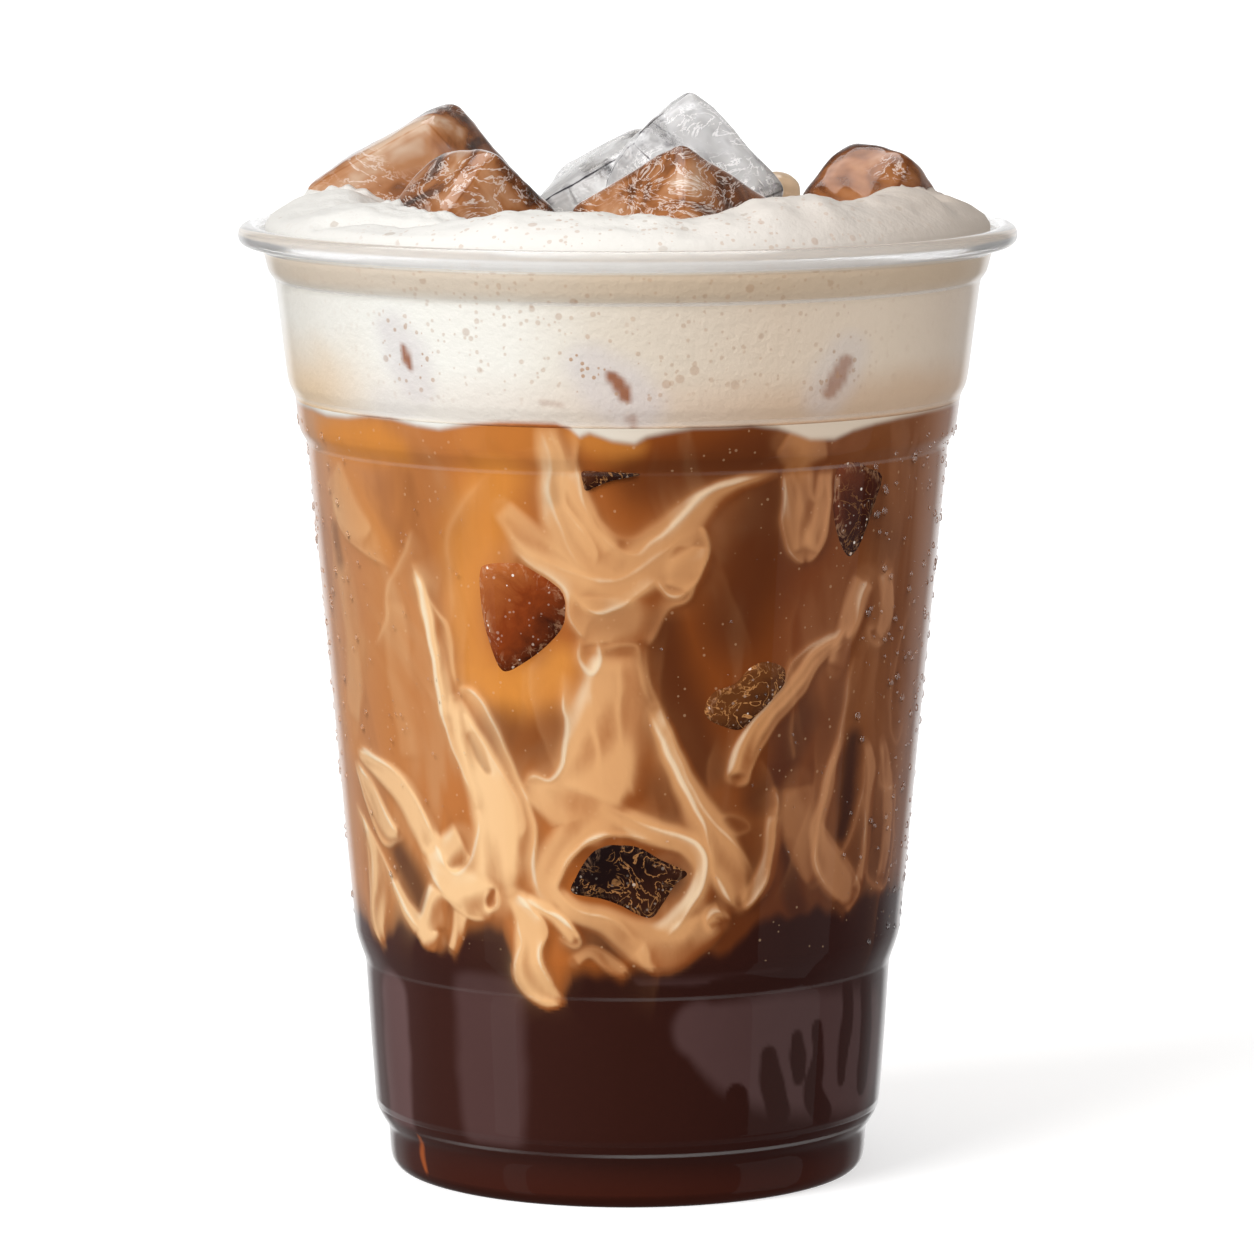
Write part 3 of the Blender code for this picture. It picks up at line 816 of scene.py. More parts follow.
def drink_wall(name, start, sweep, step, levels, base, finish, slot, fields):
    """A sector of the drink, dense at the wall, with its painting and the relief of its milk."""
    high, low = levels
    rows = max(int((high - low) / step), 8)
    side = [(float(inner_radius(z)) + REACH_INTO_WALL, z) for z in np.linspace(high, low, rows + 1)]
    top = [(0.0, high), (side[0][0] * 0.5, high), (side[0][0] * 0.93, high)]
    sectors = int(math.radians(sweep) * WALL_TURN / step)
    bm = turned(top + side + base, sectors, start, sweep)
    for edge in bm.edges:
        ends = [vert.co.z / MM for vert in edge.verts]
        edge.smooth = not all(min(abs(end - high), abs(end - low)) < 0.001 for end in ends)
    if sweep < 360.0:
        rim = [edge for edge in bm.edges if edge.is_boundary]
        bmesh.ops.triangle_fill(bm, use_beauty=True, edges=rim)
        for edge in rim:
            edge.smooth = False
        bmesh.ops.recalc_face_normals(bm, faces=bm.faces[:])
    places = np.array([vert.co[:] for vert in bm.verts]) / MM
    radius = np.hypot(places[:, 0], places[:, 1])
    level = np.maximum(places[:, 2], low)
    outside = (radius > inner_radius(level) + REACH_INTO_WALL - 0.05) & (places[:, 2] > low - 0.01)
    around = np.arctan2(places[:, 0], -places[:, 1]) * WALL_TURN
    relief = chart.read(RELIEF, around, places[:, 2])
    scale = (radius + np.where(outside, relief, 0.0)) / np.maximum(radius, 1e-6)
    for vert, factor in zip(bm.verts, scale):
        vert.co.x *= factor
        vert.co.y *= factor
    piece = finished(name, bm, finish, slot)
    shares = [chart.read(field, around, places[:, 2]) for field in fields]
    lay_on(piece, "swirl", "FLOAT_COLOR", "color", np.stack(shares[:4], 1))
    lay_on(piece, "border", "FLOAT", "value", shares[4])


LATTE_TONES = (
    (-0.0380, (0.60, 0.290, 0.145)),
    (-0.0290, (0.58, 0.225, 0.072)),
    (-0.0150, (0.54, 0.165, 0.036)),
    (-0.0060, (0.46, 0.125, 0.022)),
    (0.0030, (0.29, 0.070, 0.0120)),
    (0.0220, (0.22, 0.052, 0.0110)),
    (0.0320, (0.25, 0.078, 0.0240)),
    (0.0390, (0.40, 0.175, 0.0900)),
)
# The milk where its shine is low, deep in the drink and in painted shade, across the cup
MILK_DEEP_SHADED_TONES = (
    (-0.0370, (0.50, 0.205, 0.075)),
    (-0.0100, (0.47, 0.155, 0.042)),
    (0.0020, (0.40, 0.120, 0.032)),
    (0.0200, (0.30, 0.090, 0.026)),
    (0.0380, (0.25, 0.085, 0.040)),
)
MILK_TONES = (
    (-0.0370, (0.95, 0.60, 0.32)),
    (-0.0190, (1.00, 0.64, 0.33)),
    (-0.0110, (0.97, 0.57, 0.27)),
    (-0.0040, (0.87, 0.46, 0.200)),
    (0.0020, (0.80, 0.41, 0.175)),
    (0.0150, (0.76, 0.36, 0.145)),
    (0.0270, (0.70, 0.32, 0.145)),
    (0.0380, (0.58, 0.27, 0.140)),
)
# Painted highlights on the milk's crests, across the cup
CREST_HIGHLIGHT_TONES = (
    (-0.0370, (1.0, 0.82, 0.57)),
    (-0.0100, (1.0, 0.80, 0.54)),
    (0.0100, (1.0, 0.73, 0.47)),
    (0.0250, (0.96, 0.63, 0.40)),
    (0.0380, (0.86, 0.55, 0.36)),
)
LATTE_GOLD = (0.76, 0.285, 0.052)
COFFEE_TONES = (
    (-0.034, (0.075, 0.030, 0.028)),
    (-0.024, (0.050, 0.016, 0.012)),
    (0.000, (0.038, 0.0105, 0.0070)),
    (0.020, (0.034, 0.0090, 0.0065)),
    (0.034, (0.045, 0.0140, 0.0120)),
)
# Foam seen through the wall, across the cup: its cream, with painted light on the left and painted shade
# toward the middle and right
FOAM_LIT_AND_SHADED_TONES = (
    (-0.0440, (0.90, 0.86, 0.78)),
    (-0.0300, (1.000, 0.990, 0.930)),
    (-0.0150, (1.000, 0.970, 0.890)),
    (-0.0040, (0.88, 0.79, 0.670)),
    (0.0060, (0.84, 0.72, 0.585)),
    (0.0180, (0.87, 0.71, 0.555)),
    (0.0320, (0.93, 0.77, 0.610)),
    (0.0430, (0.80, 0.66, 0.540)),
)


def drink_inputs(finish):
    """The painted shares, the place across the cup, and soft noise that follows the flow."""
    painted = finish.split(finish.attribute("swirl", "Color")) + [finish.attribute("swirl", "Alpha")]
    clouds = finish.grain(60.0, 3.0, 0.55, 1.4, (1.0, 1.0, 0.4))
    fine = finish.grain(330.0, 3.0, 0.6, 1.0, (1.0, 1.0, 0.4))
    return painted, finish.place_parts(), clouds, fine


def specks(finish, scale, size, chance):
    """Fine bubbles: a dot in some cells of a three-dimensional pattern."""
    cells = finish.add("ShaderNodeTexVoronoi", None, {"Vector": finish.place(), "Scale": scale})
    pick, growth = finish.split(Wire(finish, cells.outputs["Color"]))[:2]
    dot = finish.step(Wire(finish, cells.outputs["Distance"]) / (size * (0.4 + growth)), 1.15, 0.75)
    return dot * finish.step(pick, 1.0 - chance, 1.02 - chance)


def plain_latte(finish, x, clouds):
    """The drink where no milk hangs in it: gold on the left, deep brown in the middle."""
    base = finish.ramp(x + (clouds - 0.5) * 0.012, LATTE_TONES)
    milky = finish.mix(finish.step(x, -0.01, 0.02), (0.66, 0.34, 0.155), (0.33, 0.115, 0.042))
    base = finish.mix(finish.step(clouds, 0.50, 0.72) * 0.55, base, milky)
    return finish.mix(finish.step(clouds, 0.5, 0.28) * 0.42, base, (0.22, 0.055, 0.011))


def with_milk(finish, base, milk, shine, dark, x):
    """Milk laid over the drink, from deep tan where it is deep and in painted shade to cream with a painted
    highlight on its crests.
    """
    deep = finish.ramp(x, MILK_DEEP_SHADED_TONES)
    tan = finish.mix(finish.step(shine, 0.0, 0.42), deep, finish.ramp(x, MILK_TONES))
    cream = finish.mix(finish.step(shine, 0.56, 0.98), tan, finish.ramp(x, CREST_HIGHLIGHT_TONES))
    mixed = finish.mix(milk, base, cream)
    thin = finish.step(milk, 0.06, 0.45) * (1 - milk) * dark
    return finish.mix(thin * 1.1, mixed, (0.26, 0.060, 0.012))


def latte_colour(finish):
    """The colour of the milky coffee, from its painted shares and its place in the cup."""
    (milk, shine, gold, dark), (x, y, z), clouds, fine = drink_inputs(finish)
    base = finish.mix(gold * (0.8 + fine * 0.4), plain_latte(finish, x, clouds), LATTE_GOLD)
    base = finish.mix(dark, base, finish.ramp(x, COFFEE_TONES))
    base = finish.mix(specks(finish, 1300.0, 0.20, 0.16) * 0.30, base, (0.80, 0.52, 0.30))
    milky = with_milk(finish, base, milk * (0.92 + fine * 0.16), shine + (fine - 0.5) * 0.14, dark, x)
    return finish.mix(finish.attribute("border", "Fac"), milky, finish.ramp(x, FOAM_LIT_AND_SHADED_TONES))


latte_finish = Finish("latte", Roughness=0.5, Specular_IOR_Level=0.0)
latte_finish.set(latte_finish.shader, {"Base Color": latte_colour(latte_finish)})

# Spacing of the vertices on the drink's wall in mm, at the front and elsewhere
FINE_STEP = 0.235
COARSE_STEP = 0.42
LATTE_SECTORS = (
    ("latte_front_left", 180.0, 90.0, FINE_STEP),
    ("latte_front_right", 270.0, 90.0, FINE_STEP),
    ("latte_back", 0.0, 180.0, COARSE_STEP),
)
LATTE_FLOOR = [(30.0, LATTE_LOW), (16.0, LATTE_LOW), (0.0, LATTE_LOW)]
for name, start, sweep, step in LATTE_SECTORS:
    levels = (LATTE_HIGH, LATTE_LOW)
    painting = (MILK, SHINE, GOLD, DARK_AND_SHADE, FROTH)
    drink_wall(name, start, sweep, step, levels, LATTE_FLOOR, latte_finish, "latte", painting)

# ---------------------------------------------------------------------------
# Dark coffee
# Strong coffee lies below the milk and fills the foot. A soft grey reflection is painted over it,
# and drops that ran down on one side break it into clear, darker ovals; a glow is painted in the foot.
# ---------------------------------------------------------------------------

COFFEE_LOW = 1.7
COFFEE_FLOOR = [
    (29.2, 1.35), (28.1, 0.75), (27.3, 0.9), (26.5, 1.55),
    (25.6, 2.45), (24.3, 3.25), (20.0, 3.4), (0.0, 3.55),
]
COFFEE_TOP = LATTE_LOW
# Painted reflections on the plastic over the coffee: points with half width in millimetres, then strength
REFLECTION_PATCHES = (
    (((392, 1000, 4.4), (395, 1060, 4.4), (399, 1116, 4.2)), 0.90),
    (((486, 1005, 6.2), (488, 1060, 6.2), (490, 1118, 6.0)), 0.46),
    (((700, 1030, 4.0), (745, 1048, 7.0), (800, 1052, 8.6), (866, 1050, 8.6)), 0.48),
    (((640, 976, 1.2), (730, 969, 1.9), (830, 950, 2.0)), 0.36),
)
# Runs of drops, where the painted reflection gives way to darker ovals, in the same way
CLEAR_RUNS = (
    (((738, 1100, 2.0), (738, 1118, 2.2)), 1.0),
    (((770, 1056, 1.3), (773, 1078, 1.9), (781, 1112, 2.1)), 1.0),
    (((799, 1040, 1.2), (800, 1058, 1.6), (801, 1076, 1.2)), 1.0),
    (((820, 1028, 1.0), (820, 1058, 1.4), (815, 1092, 2.0), (826, 1114, 1.8)), 1.0),
    (((852, 968, 1.0), (850, 1010, 1.5), (846, 1048, 1.5), (843, 1078, 1.0)), 1.0),
    (((872, 960, 1.5), (868, 1020, 2.1), (864, 1080, 2.0)), 1.0),
    (((714, 984, 0.45), (750, 979, 0.55), (790, 974, 0.45)), 0.9),
    (((747, 990, 0.45), (790, 983, 0.6), (824, 979, 0.4)), 0.9),
    (((786, 972, 0.5), (806, 967, 0.6), (830, 961, 0.4)), 0.9),
)
# Heights between which the painted reflection fades out, at its lower and its upper end
REFLECTION_LOW = (7.2, 8.0)
REFLECTION_HIGH = (28.5, 30.5)
# A painted streak of light in the foot: points with half width in millimetres, then strength
FOOT_GLOW = (
    (((416, 1135, 0.4), (420, 1152, 0.7), (424, 1170, 0.4)), 0.9),
)


reflection_chart = chart.blank()
foot_chart = chart.blank()
for behind in (False, True):
    for window, share in chart.covered(REFLECTION_PATCHES, behind, 10.0, 0.7, 1.12):
        raise_to(reflection_chart, window, share)
    for window, share in chart.covered(CLEAR_RUNS, behind, 6.0, 0.9, 1.0, 0.15):
        reflection_chart[window] *= 1 - share
    for window, share in chart.covered(FOOT_GLOW, behind, 6.0, 0.3, 1.5):
        raise_to(foot_chart, window, share)
reflection_reach = soft(chart.height, *REFLECTION_LOW) * (1 - soft(chart.height, *REFLECTION_HIGH))
reflection_chart *= reflection_reach[:, None]


def coffee_colour(finish):
    """The colour of the dark coffee, with its painted reflection, its painted glow and the last of the
    milk.
    """
    (milk, shine, painted_reflection, glow), (x, y, z), clouds, fine = drink_inputs(finish)
    dark = finish.attribute("border", "Fac")
    base = finish.mix(dark, plain_latte(finish, x, clouds), finish.ramp(x, COFFEE_TONES))
    # redder low in the foot, a painted glow
    base = finish.mix(finish.step(z, 0.0060, 0.0015) * 0.5, base, (0.070, 0.014, 0.007))
    # painted reflection on the plastic
    base = finish.mix(painted_reflection * (0.85 + clouds * 0.3), base, (0.150, 0.082, 0.080))
    # the painted streak of light in the foot
    base = finish.mix(glow, base, (0.40, 0.095, 0.025))
    return with_milk(finish, base, milk * (0.92 + fine * 0.16), shine + (fine - 0.5) * 0.14, dark, x)


coffee_finish = Finish("dark_coffee", Roughness=0.4, Specular_IOR_Level=0.0)
coffee_finish.set(coffee_finish.shader, {"Base Color": coffee_colour(coffee_finish)})
coffee_levels = (COFFEE_TOP, COFFEE_LOW)
coffee_painting = (MILK, SHINE, reflection_chart, foot_chart, DARK_AND_SHADE)
drink_wall(
    "coffee_below",
    0.0,
    360.0,
    COARSE_STEP,
    coffee_levels,
    COFFEE_FLOOR,
    coffee_finish,
    "dark_coffee",
    coffee_painting,
)

# ---------------------------------------------------------------------------
# Ice under the surface
# Five lumps of ice lie against the wall inside the drink. Only the face that touches the plastic
# shows: it is stained by coffee, and trapped air gives it fine bright specks, among them painted glints.
# ---------------------------------------------------------------------------

SUNK_RINGS = 12
SUNK_SMOOTHING = 8
SUNK_RISE = 0.50
SUNK_SHOULDER = 0.2
# Behind its face each lump narrows to a back: how deep in the drink in mm, and its scale
SUNK_BACK = ((-7.0, 0.55), (-1.05, 1.0))
SUNK_UNEVENNESS = 0.05
# Each lump's outline in the photo's pixels, its three tones from its upper left to its lower right, and how
# strong its specks, partly painted glints, and cracks are
SUNK_LUMPS = {
    "ice_in_cave": (
        (
            (478, 572), (486, 564), (517, 563), (543, 575), (562, 587), (568, 602), (563, 625), (549, 643),
            (529, 659), (508, 671), (499, 669), (492, 655), (484, 630), (479, 602),
        ),
        # painted light at its upper left, fading to painted shade at its lower right
        ((0.50, 0.150, 0.038), (0.25, 0.045, 0.009), (0.030, 0.007, 0.004)),
        0.9,
        0.0,
    ),
    "ice_in_frame": (
        (
            (571, 893), (576, 876), (588, 857), (602, 846), (620, 845), (640, 848), (661, 860), (688, 873),
            (677, 884), (667, 899), (655, 917), (644, 918), (620, 906), (600, 899),
        ),
        ((0.010, 0.005, 0.005), (0.016, 0.006, 0.005), (0.055, 0.017, 0.008)),
        0.4,
        0.6,
    ),
    "ice_in_net": (
        (
            (706, 706), (716, 692), (736, 684), (752, 668), (768, 662), (786, 668), (789, 682), (776, 700),
            (760, 716), (742, 730), (722, 726), (708, 718),
        ),
        ((0.12, 0.036, 0.010), (0.16, 0.050, 0.013), (0.035, 0.010, 0.005)),
        0.9,
        0.9,
    ),
    "ice_by_drip": (
        (
            (838, 472), (846, 463), (860, 461), (871, 468), (884, 476), (878, 500), (870, 524), (860, 548),
            (850, 556), (840, 536), (835, 505),
        ),
        ((0.20, 0.045, 0.014), (0.070, 0.014, 0.006), (0.025, 0.006, 0.004)),
        1.0,
        0.3,
    ),
    "ice_under_band": (
        (
            (580, 471), (600, 471), (624, 472), (640, 474), (628, 478), (612, 481), (596, 487), (584, 492),
            (580, 484),
        ),
        ((0.12, 0.035, 0.012), (0.035, 0.010, 0.005), (0.015, 0.005, 0.004)),
        0.7,
        0.6,
    ),
}


def sunk_finish(name, tones, sparkle, net):
    """Coffee-stained ice seen through plastic, from its first tone at the upper left to its last at the
    lower right, with a bright rim and specks of trapped air, among them painted glints.
    """
    finish = Finish(name, Roughness=0.3, Specular_IOR_Level=0.0)
    inward, lower = finish.split(finish.attribute("side", "Color"))[:2]
    patches = finish.grain(240.0, 4.0, 0.62, 1.2)
    streaks = finish.grain(520.0, 4.0, 0.7, 2.4, (1.0, 1.0, 0.6))
    stops = ((0.25, tones[0]), (0.60, tones[1]), (0.95, tones[2]))
    # a gradient from the lump's upper left to its lower right; on the cave lump it is painted light and
    # shade
    tint = finish.ramp(lower * 0.95 + patches * 0.5 - 0.10, stops)
    rim = finish.step(inward, 0.34, 0.04)
    tint = finish.mix(rim * finish.step(streaks, 0.50, 0.62) * 0.50 * sparkle, tint, (0.66, 0.36, 0.20))
    cracks = finish.grain(230.0, 3.0, 0.55, 2.6) - 0.5
    web = finish.step(cracks * cracks, 0.00045, 0.00003) * finish.step(patches + lower * 0.3, 0.50, 0.72)
    tint = finish.mix(web * net, tint, (0.62, 0.28, 0.095))
    # bright specks, partly trapped air and partly painted glints
    air_and_glints = specks(finish, 2100.0, 0.34, 0.10) * sparkle * (0.25 + rim * 0.7)
    tint = finish.mix(air_and_glints, tint, (0.95, 0.76, 0.62))
    # fine painted glints
    tint = finish.mix(specks(finish, 1300.0, 0.20, 0.10) * sparkle, tint, (1.0, 0.90, 0.80))
    finish.set(finish.shader, {"Base Color": tint})
    return finish


def sunk_lump(outline, number):
    """A lump whose face follows the wall, and for each vertex how far it lies in from the rim."""
    around_loop = (outline[-1],) + outline + outline[:2]
    line = smooth_path([on_wall(u, v) for u, v in around_loop], SUNK_SMOOTHING)
    loop = line[SUNK_SMOOTHING : SUNK_SMOOTHING * (len(outline) + 1)]
    count = len(loop)
    middle = np.mean(loop, axis=0)
    size = np.ptp(loop, axis=0)
    lump = bmesh.new()
    rings = []
    shares = []
    profile = [(depth, scale, 0.0) for depth, scale in SUNK_BACK]
    for ring in range(SUNK_RINGS):
        inward = ring / SUNK_RINGS
        profile.append((SUNK_RISE * soft(inward, 0.0, SUNK_SHOULDER), 1.0 - inward, inward))
    for bulge, scale, inward in profile:
        verts = []
        for around, height in loop:
            around = middle[0] + (around - middle[0]) * scale
            height = middle[1] + (height - middle[1]) * scale
            unevenness = noise.noise(Vector((around * 0.6, height * 0.6, number * 5.0)))
            lift = SUNK_UNEVENNESS * unevenness if inward > 0 else 0.0
            radius = float(inner_radius(height)) + REACH_INTO_WALL + bulge + lift
            angle = around / WALL_TURN
            place = (radius * math.sin(angle) * MM, -radius * math.cos(angle) * MM, height * MM)
            verts.append(lump.verts.new(place))
            lower = 0.5 + 0.5 * ((around - middle[0]) / size[0] - (height - middle[1]) / size[1])
            shares.append((inward, lower, 0.0, 1.0))
        rings.append(verts)
    for low_ring, high_ring in zip(rings, rings[1:]):
        for index in range(count):
            after = (index + 1) % count
            lump.faces.new((low_ring[index], low_ring[after], high_ring[after], high_ring[index]))
    lump.faces.new(rings[0])
    lump.faces.new(rings[-1])
    bmesh.ops.recalc_face_normals(lump, faces=lump.faces[:])
    return lump, shares


for number, (name, (outline, tones, sparkle, net)) in enumerate(SUNK_LUMPS.items()):
    lump, shares = sunk_lump(outline, number)
    piece = finished(name, lump, sunk_finish(name, tones, sparkle, net), None)
    lay_on(piece, "side", "FLOAT_COLOR", "color", shares)

# ---------------------------------------------------------------------------
# Foam
# Frothed milk caps the drink and swells over the lip in soft folds. It is white and dense, with
# fine pores, and brown hollows show in it through the wall.
# Its colour is painted lighter on the left, with painted shade toward the right.
# ---------------------------------------------------------------------------

RIDGE_ANGLES = [
    -180, -150, -120, -100, -88, -76, -62, -50, -40, -31, -22, -15, -6,
    3, 12, 18, 26, 35, 46, 56, 64, 72, 80, 90, 105, 120, 150, 180,
]
RIDGE_HEIGHTS = [
    118.2, 118.8, 120.6, 122.8, 124.0, 122.6, 123.3, 122.4, 121.6, 123.0, 123.9, 124.1, 123.8,
    123.2, 123.1, 123.7, 125.2, 125.4, 124.6, 124.7, 125.2, 124.4, 123.7, 123.2, 122.4, 120.6, 118.8, 118.2,
]
RIDGE_RADIUS = 36.5
RIDGE_SPREAD = 7.5
HOLLOW_HEIGHT = 119.6
FOAM_SIDE_TOP = 117.6
MOUND_LOW = 118.6
MOUND_RADIUS = 45.1
# Soft lumps down to pores: how often they come per mm, their layer of the noise, and size in mm
FOAM_LUMPS = ((0.16, 3.0, 0.75), (0.45, 7.0, 0.30), (1.7, 11.0, 0.08))
EDGE_RADIUS = 44.9
EDGE_FADE = 3.0
LAYER_GAP = 0.02
FOAM_EDGE_TOP = 120.8
FOAM_EDGE_RADIUS = 45.0
FOAM_ROUNDING = [(44.8, 120.6), (45.2, 120.35), (45.42, 120.0), (45.5, 119.6), (45.45, 119.2)]
BACK_EDGE_DROP = 2.6
FOAM_SECTORS = 360
CREASE_START = Vector((-37.0, -22.0))
CREASE_RUN = Vector((21.0, -10.0))
CREASE_DEPTH = 1.3
CREASE_WIDTH = 1.6
CLIMB_HEIGHT = 1.1
CLIMB_REACH = 1.7
FAR_FROM_ICE = 9.0
# The foam's top across the cup: white, with painted shade at the far left and growing toward the right
MOUND_SHADED_TONES = (
    (-0.044, (0.80, 0.78, 0.74)),
    (-0.020, (0.86, 0.84, 0.80)),
    (0.000, (0.86, 0.83, 0.78)),
    (0.018, (0.76, 0.70, 0.64)),
    (0.034, (0.66, 0.58, 0.51)),
    (0.044, (0.58, 0.49, 0.41)),
)
FOAM_STAINS = (
    (((402, 347, 0.30), (404, 358, 0.50), (408, 367, 0.35)), 1.0),
    (((611, 376, 0.60), (620, 386, 0.80), (626, 398, 0.60)), 1.0),
    (((848, 362, 1.00), (840, 378, 1.30), (832, 392, 0.90)), 0.7),
    (((632, 418, 0.50), (634, 428, 0.40)), 0.5),
    (((540, 402, 0.25), (560, 405, 0.25)), 0.3),
)
FOAM_HALOS = (
    (((390, 330, 1.4), (403, 356, 2.4), (414, 384, 1.6)), 0.55),
    (((590, 366, 2.0), (612, 386, 3.2), (634, 405, 2.6)), 0.55),
    (((850, 355, 2.0), (838, 378, 2.6), (828, 395, 2.0)), 0.40),
    (((380, 398, 0.8), (400, 404, 1.0)), 0.2),
)


def back_share(y):
    """How far a place lies toward the back, where the foam's edge is lower."""
    return float(soft(y, 5.0, 34.0))


def foam_height(x, y):
    """The foam's surface: a ridge round the cup, a hollow inside it, and a fall to the edge."""
    angle = math.degrees(math.atan2(x, -y))
    radius = math.hypot(x, y)
    place = int(np.searchsorted(RIDGE_ANGLES, angle, side="right")) - 1
    place = min(max(place, 0), len(RIDGE_ANGLES) - 2)
    low, high = RIDGE_ANGLES[place], RIDGE_ANGLES[place + 1]
    share = float(soft(angle, low, high))
    ridge = RIDGE_HEIGHTS[place] * (1 - share) + RIDGE_HEIGHTS[place + 1] * share
    drop = BACK_EDGE_DROP * back_share(y)
    if radius > RIDGE_RADIUS:
        reach = (radius - RIDGE_RADIUS) / (FOAM_EDGE_RADIUS - RIDGE_RADIUS)
        return ridge + (FOAM_EDGE_TOP - drop - ridge) * min(reach, 1.0) ** 2.2
    hollow = HOLLOW_HEIGHT - drop
    return hollow + (ridge - hollow) * math.exp(-(((radius - RIDGE_RADIUS) / RIDGE_SPREAD) ** 2))


def ruffled(x, y, top, ice_trees):
    """The surface with its lumps and pores, its crease, and the foam that climbs the ice."""
    lumps = 0.0
    for often, layer, size in FOAM_LUMPS:
        lumps += noise.noise(Vector((x * often, y * often, layer))) * size
    top += lumps * float(soft(EDGE_RADIUS - math.hypot(x, y), 0.0, EDGE_FADE))
    from_start = Vector((x, y)) - CREASE_START
    share = min(max(from_start.dot(CREASE_RUN) / CREASE_RUN.length_squared, 0.0), 1.0)
    from_crease = (from_start - CREASE_RUN * share).length
    top -= CREASE_DEPTH * math.exp(-((from_crease / CREASE_WIDTH) ** 2))
    nearest = FAR_FROM_ICE
    for tree in ice_trees:
        found = tree.find_nearest(Vector((x, y, top)) * MM)
        if found[0] is not None:
            nearest = min(nearest, found[3] / MM)
    crumbs = 1.0 + noise.noise(Vector((x * 0.6, y * 0.6, 5.0))) * 0.9
    return top + CLIMB_HEIGHT * crumbs * math.exp(-nearest / CLIMB_REACH)


foam_rows = [(0.0, FOAM_EDGE_TOP)]
foam_rows += [(radius, FOAM_EDGE_TOP) for radius in np.linspace(1.5, 44.3, 96)]
foam_rows += FOAM_ROUNDING
foam_base = LATTE_HIGH + LAYER_GAP
foam_rows += [
    (float(inner_radius(z)) + REACH_INTO_WALL, z) for z in np.linspace(FOAM_SIDE_TOP, foam_base, 60)
]
foam_rows += [(20.0, foam_base), (0.0, foam_base)]
foam_mesh = turned(foam_rows, FOAM_SECTORS)
ice_trees = []
for name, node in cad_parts.items():
    if name.startswith("ice"):
        shape = bmesh.new()
        shape.from_mesh(node.data)
        ice_trees.append(BVHTree.FromBMesh(shape))
        shape.free()
for vert in foam_mesh.verts:
    x, y, z = vert.co / MM
    radius = math.hypot(x, y)
    if z > MOUND_LOW and radius < MOUND_RADIUS:
        vert.co.z = ruffled(x, y, foam_height(x, y), ice_trees) * MM
    elif z > MOUND_LOW:
        vert.co.z = (z - BACK_EDGE_DROP * back_share(y) * 0.9) * MM
        if back_share(y) > 0.01:
            limit = float(inner_radius(min(vert.co.z / MM, 117.0))) + REACH_INTO_WALL
            scale = (radius + (min(limit, radius) - radius) * back_share(y)) / radius
            vert.co.x *= scale
            vert.co.y *= scale


def foam_colour(finish):
    """The foam: cream through the wall, white and pitted above it, with its brown hollows, painted light on
    the left and painted shade toward the right.
    """
    stain, halo, bubbly = finish.split(finish.attribute("stain", "Color"))
    under_foam = finish.attribute("stain", "Alpha")
    x, _, z = finish.place_parts()
    clouds = finish.grain(45.0, 3.0, 0.5, 0.5)
    fine = finish.grain(400.0, 3.0, 0.6, 0.5)
    in_cup = finish.step(z, 0.1190, 0.1172)
    side = finish.ramp(x + (clouds - 0.5) * 0.012, FOAM_LIT_AND_SHADED_TONES)
    lip_band = finish.step(z, 0.1125, 0.1150) * (1 - finish.step(z, 0.1172, 0.1182))
    side = finish.mix(lip_band * 0.6, side, (0.60, 0.43, 0.27))
    low_band = finish.step(z + (clouds - 0.5) * 0.005, 0.1060, 0.1005)
    warm = finish.step(x, -0.030, 0.030)
    low_shade = finish.mix(warm, (0.93, 0.86, 0.78), (0.72, 0.46, 0.28))
    side = finish.mix(low_band * 0.65, side, low_shade)
    mound = finish.ramp(x + (clouds - 0.5) * 0.02, MOUND_SHADED_TONES)
    pits = specks(finish, 420.0, 0.22, 0.22) * finish.step(z, 0.1185, 0.1200)
    mound = finish.mix(pits * 0.5, mound, (0.52, 0.43, 0.35))
    amber = finish.step(z + (clouds - 0.5) * 0.008, 0.110, 0.100)
    amber = finish.step(x, -0.028, -0.040) * amber
    side = finish.mix(amber * 0.65, side, (0.86, 0.55, 0.24))
    shade = finish.mix(in_cup, mound, side)
    shade = finish.mix(halo * (0.7 + fine * 0.5), shade, (0.74, 0.68, 0.69))
    shade = finish.mix(stain * 0.92, shade, (0.33, 0.100, 0.030))
    near_stain = 0.35 + halo * 1.3
    small_dots = specks(finish, 1500.0, 0.40, 0.22) * bubbly * near_stain
    large_dots = specks(finish, 620.0, 0.28, 0.16) * bubbly * near_stain
    shade = finish.mix(small_dots.at_most(0.8), shade, (0.52, 0.30, 0.17))
    shade = finish.mix(large_dots.at_most(0.8), shade, (0.44, 0.22, 0.11))
    return finish.mix(under_foam, shade, finish.ramp(x, LATTE_TONES))


foam_finish = Finish("milk_foam", Roughness=0.55, Specular_IOR_Level=0.2)
foam_finish.set(foam_finish.shader, {"Base Color": foam_colour(foam_finish)})
foam_finish.bump(foam_finish.grain(800.0, 3.0, 0.6), 0.0003, 0.6)

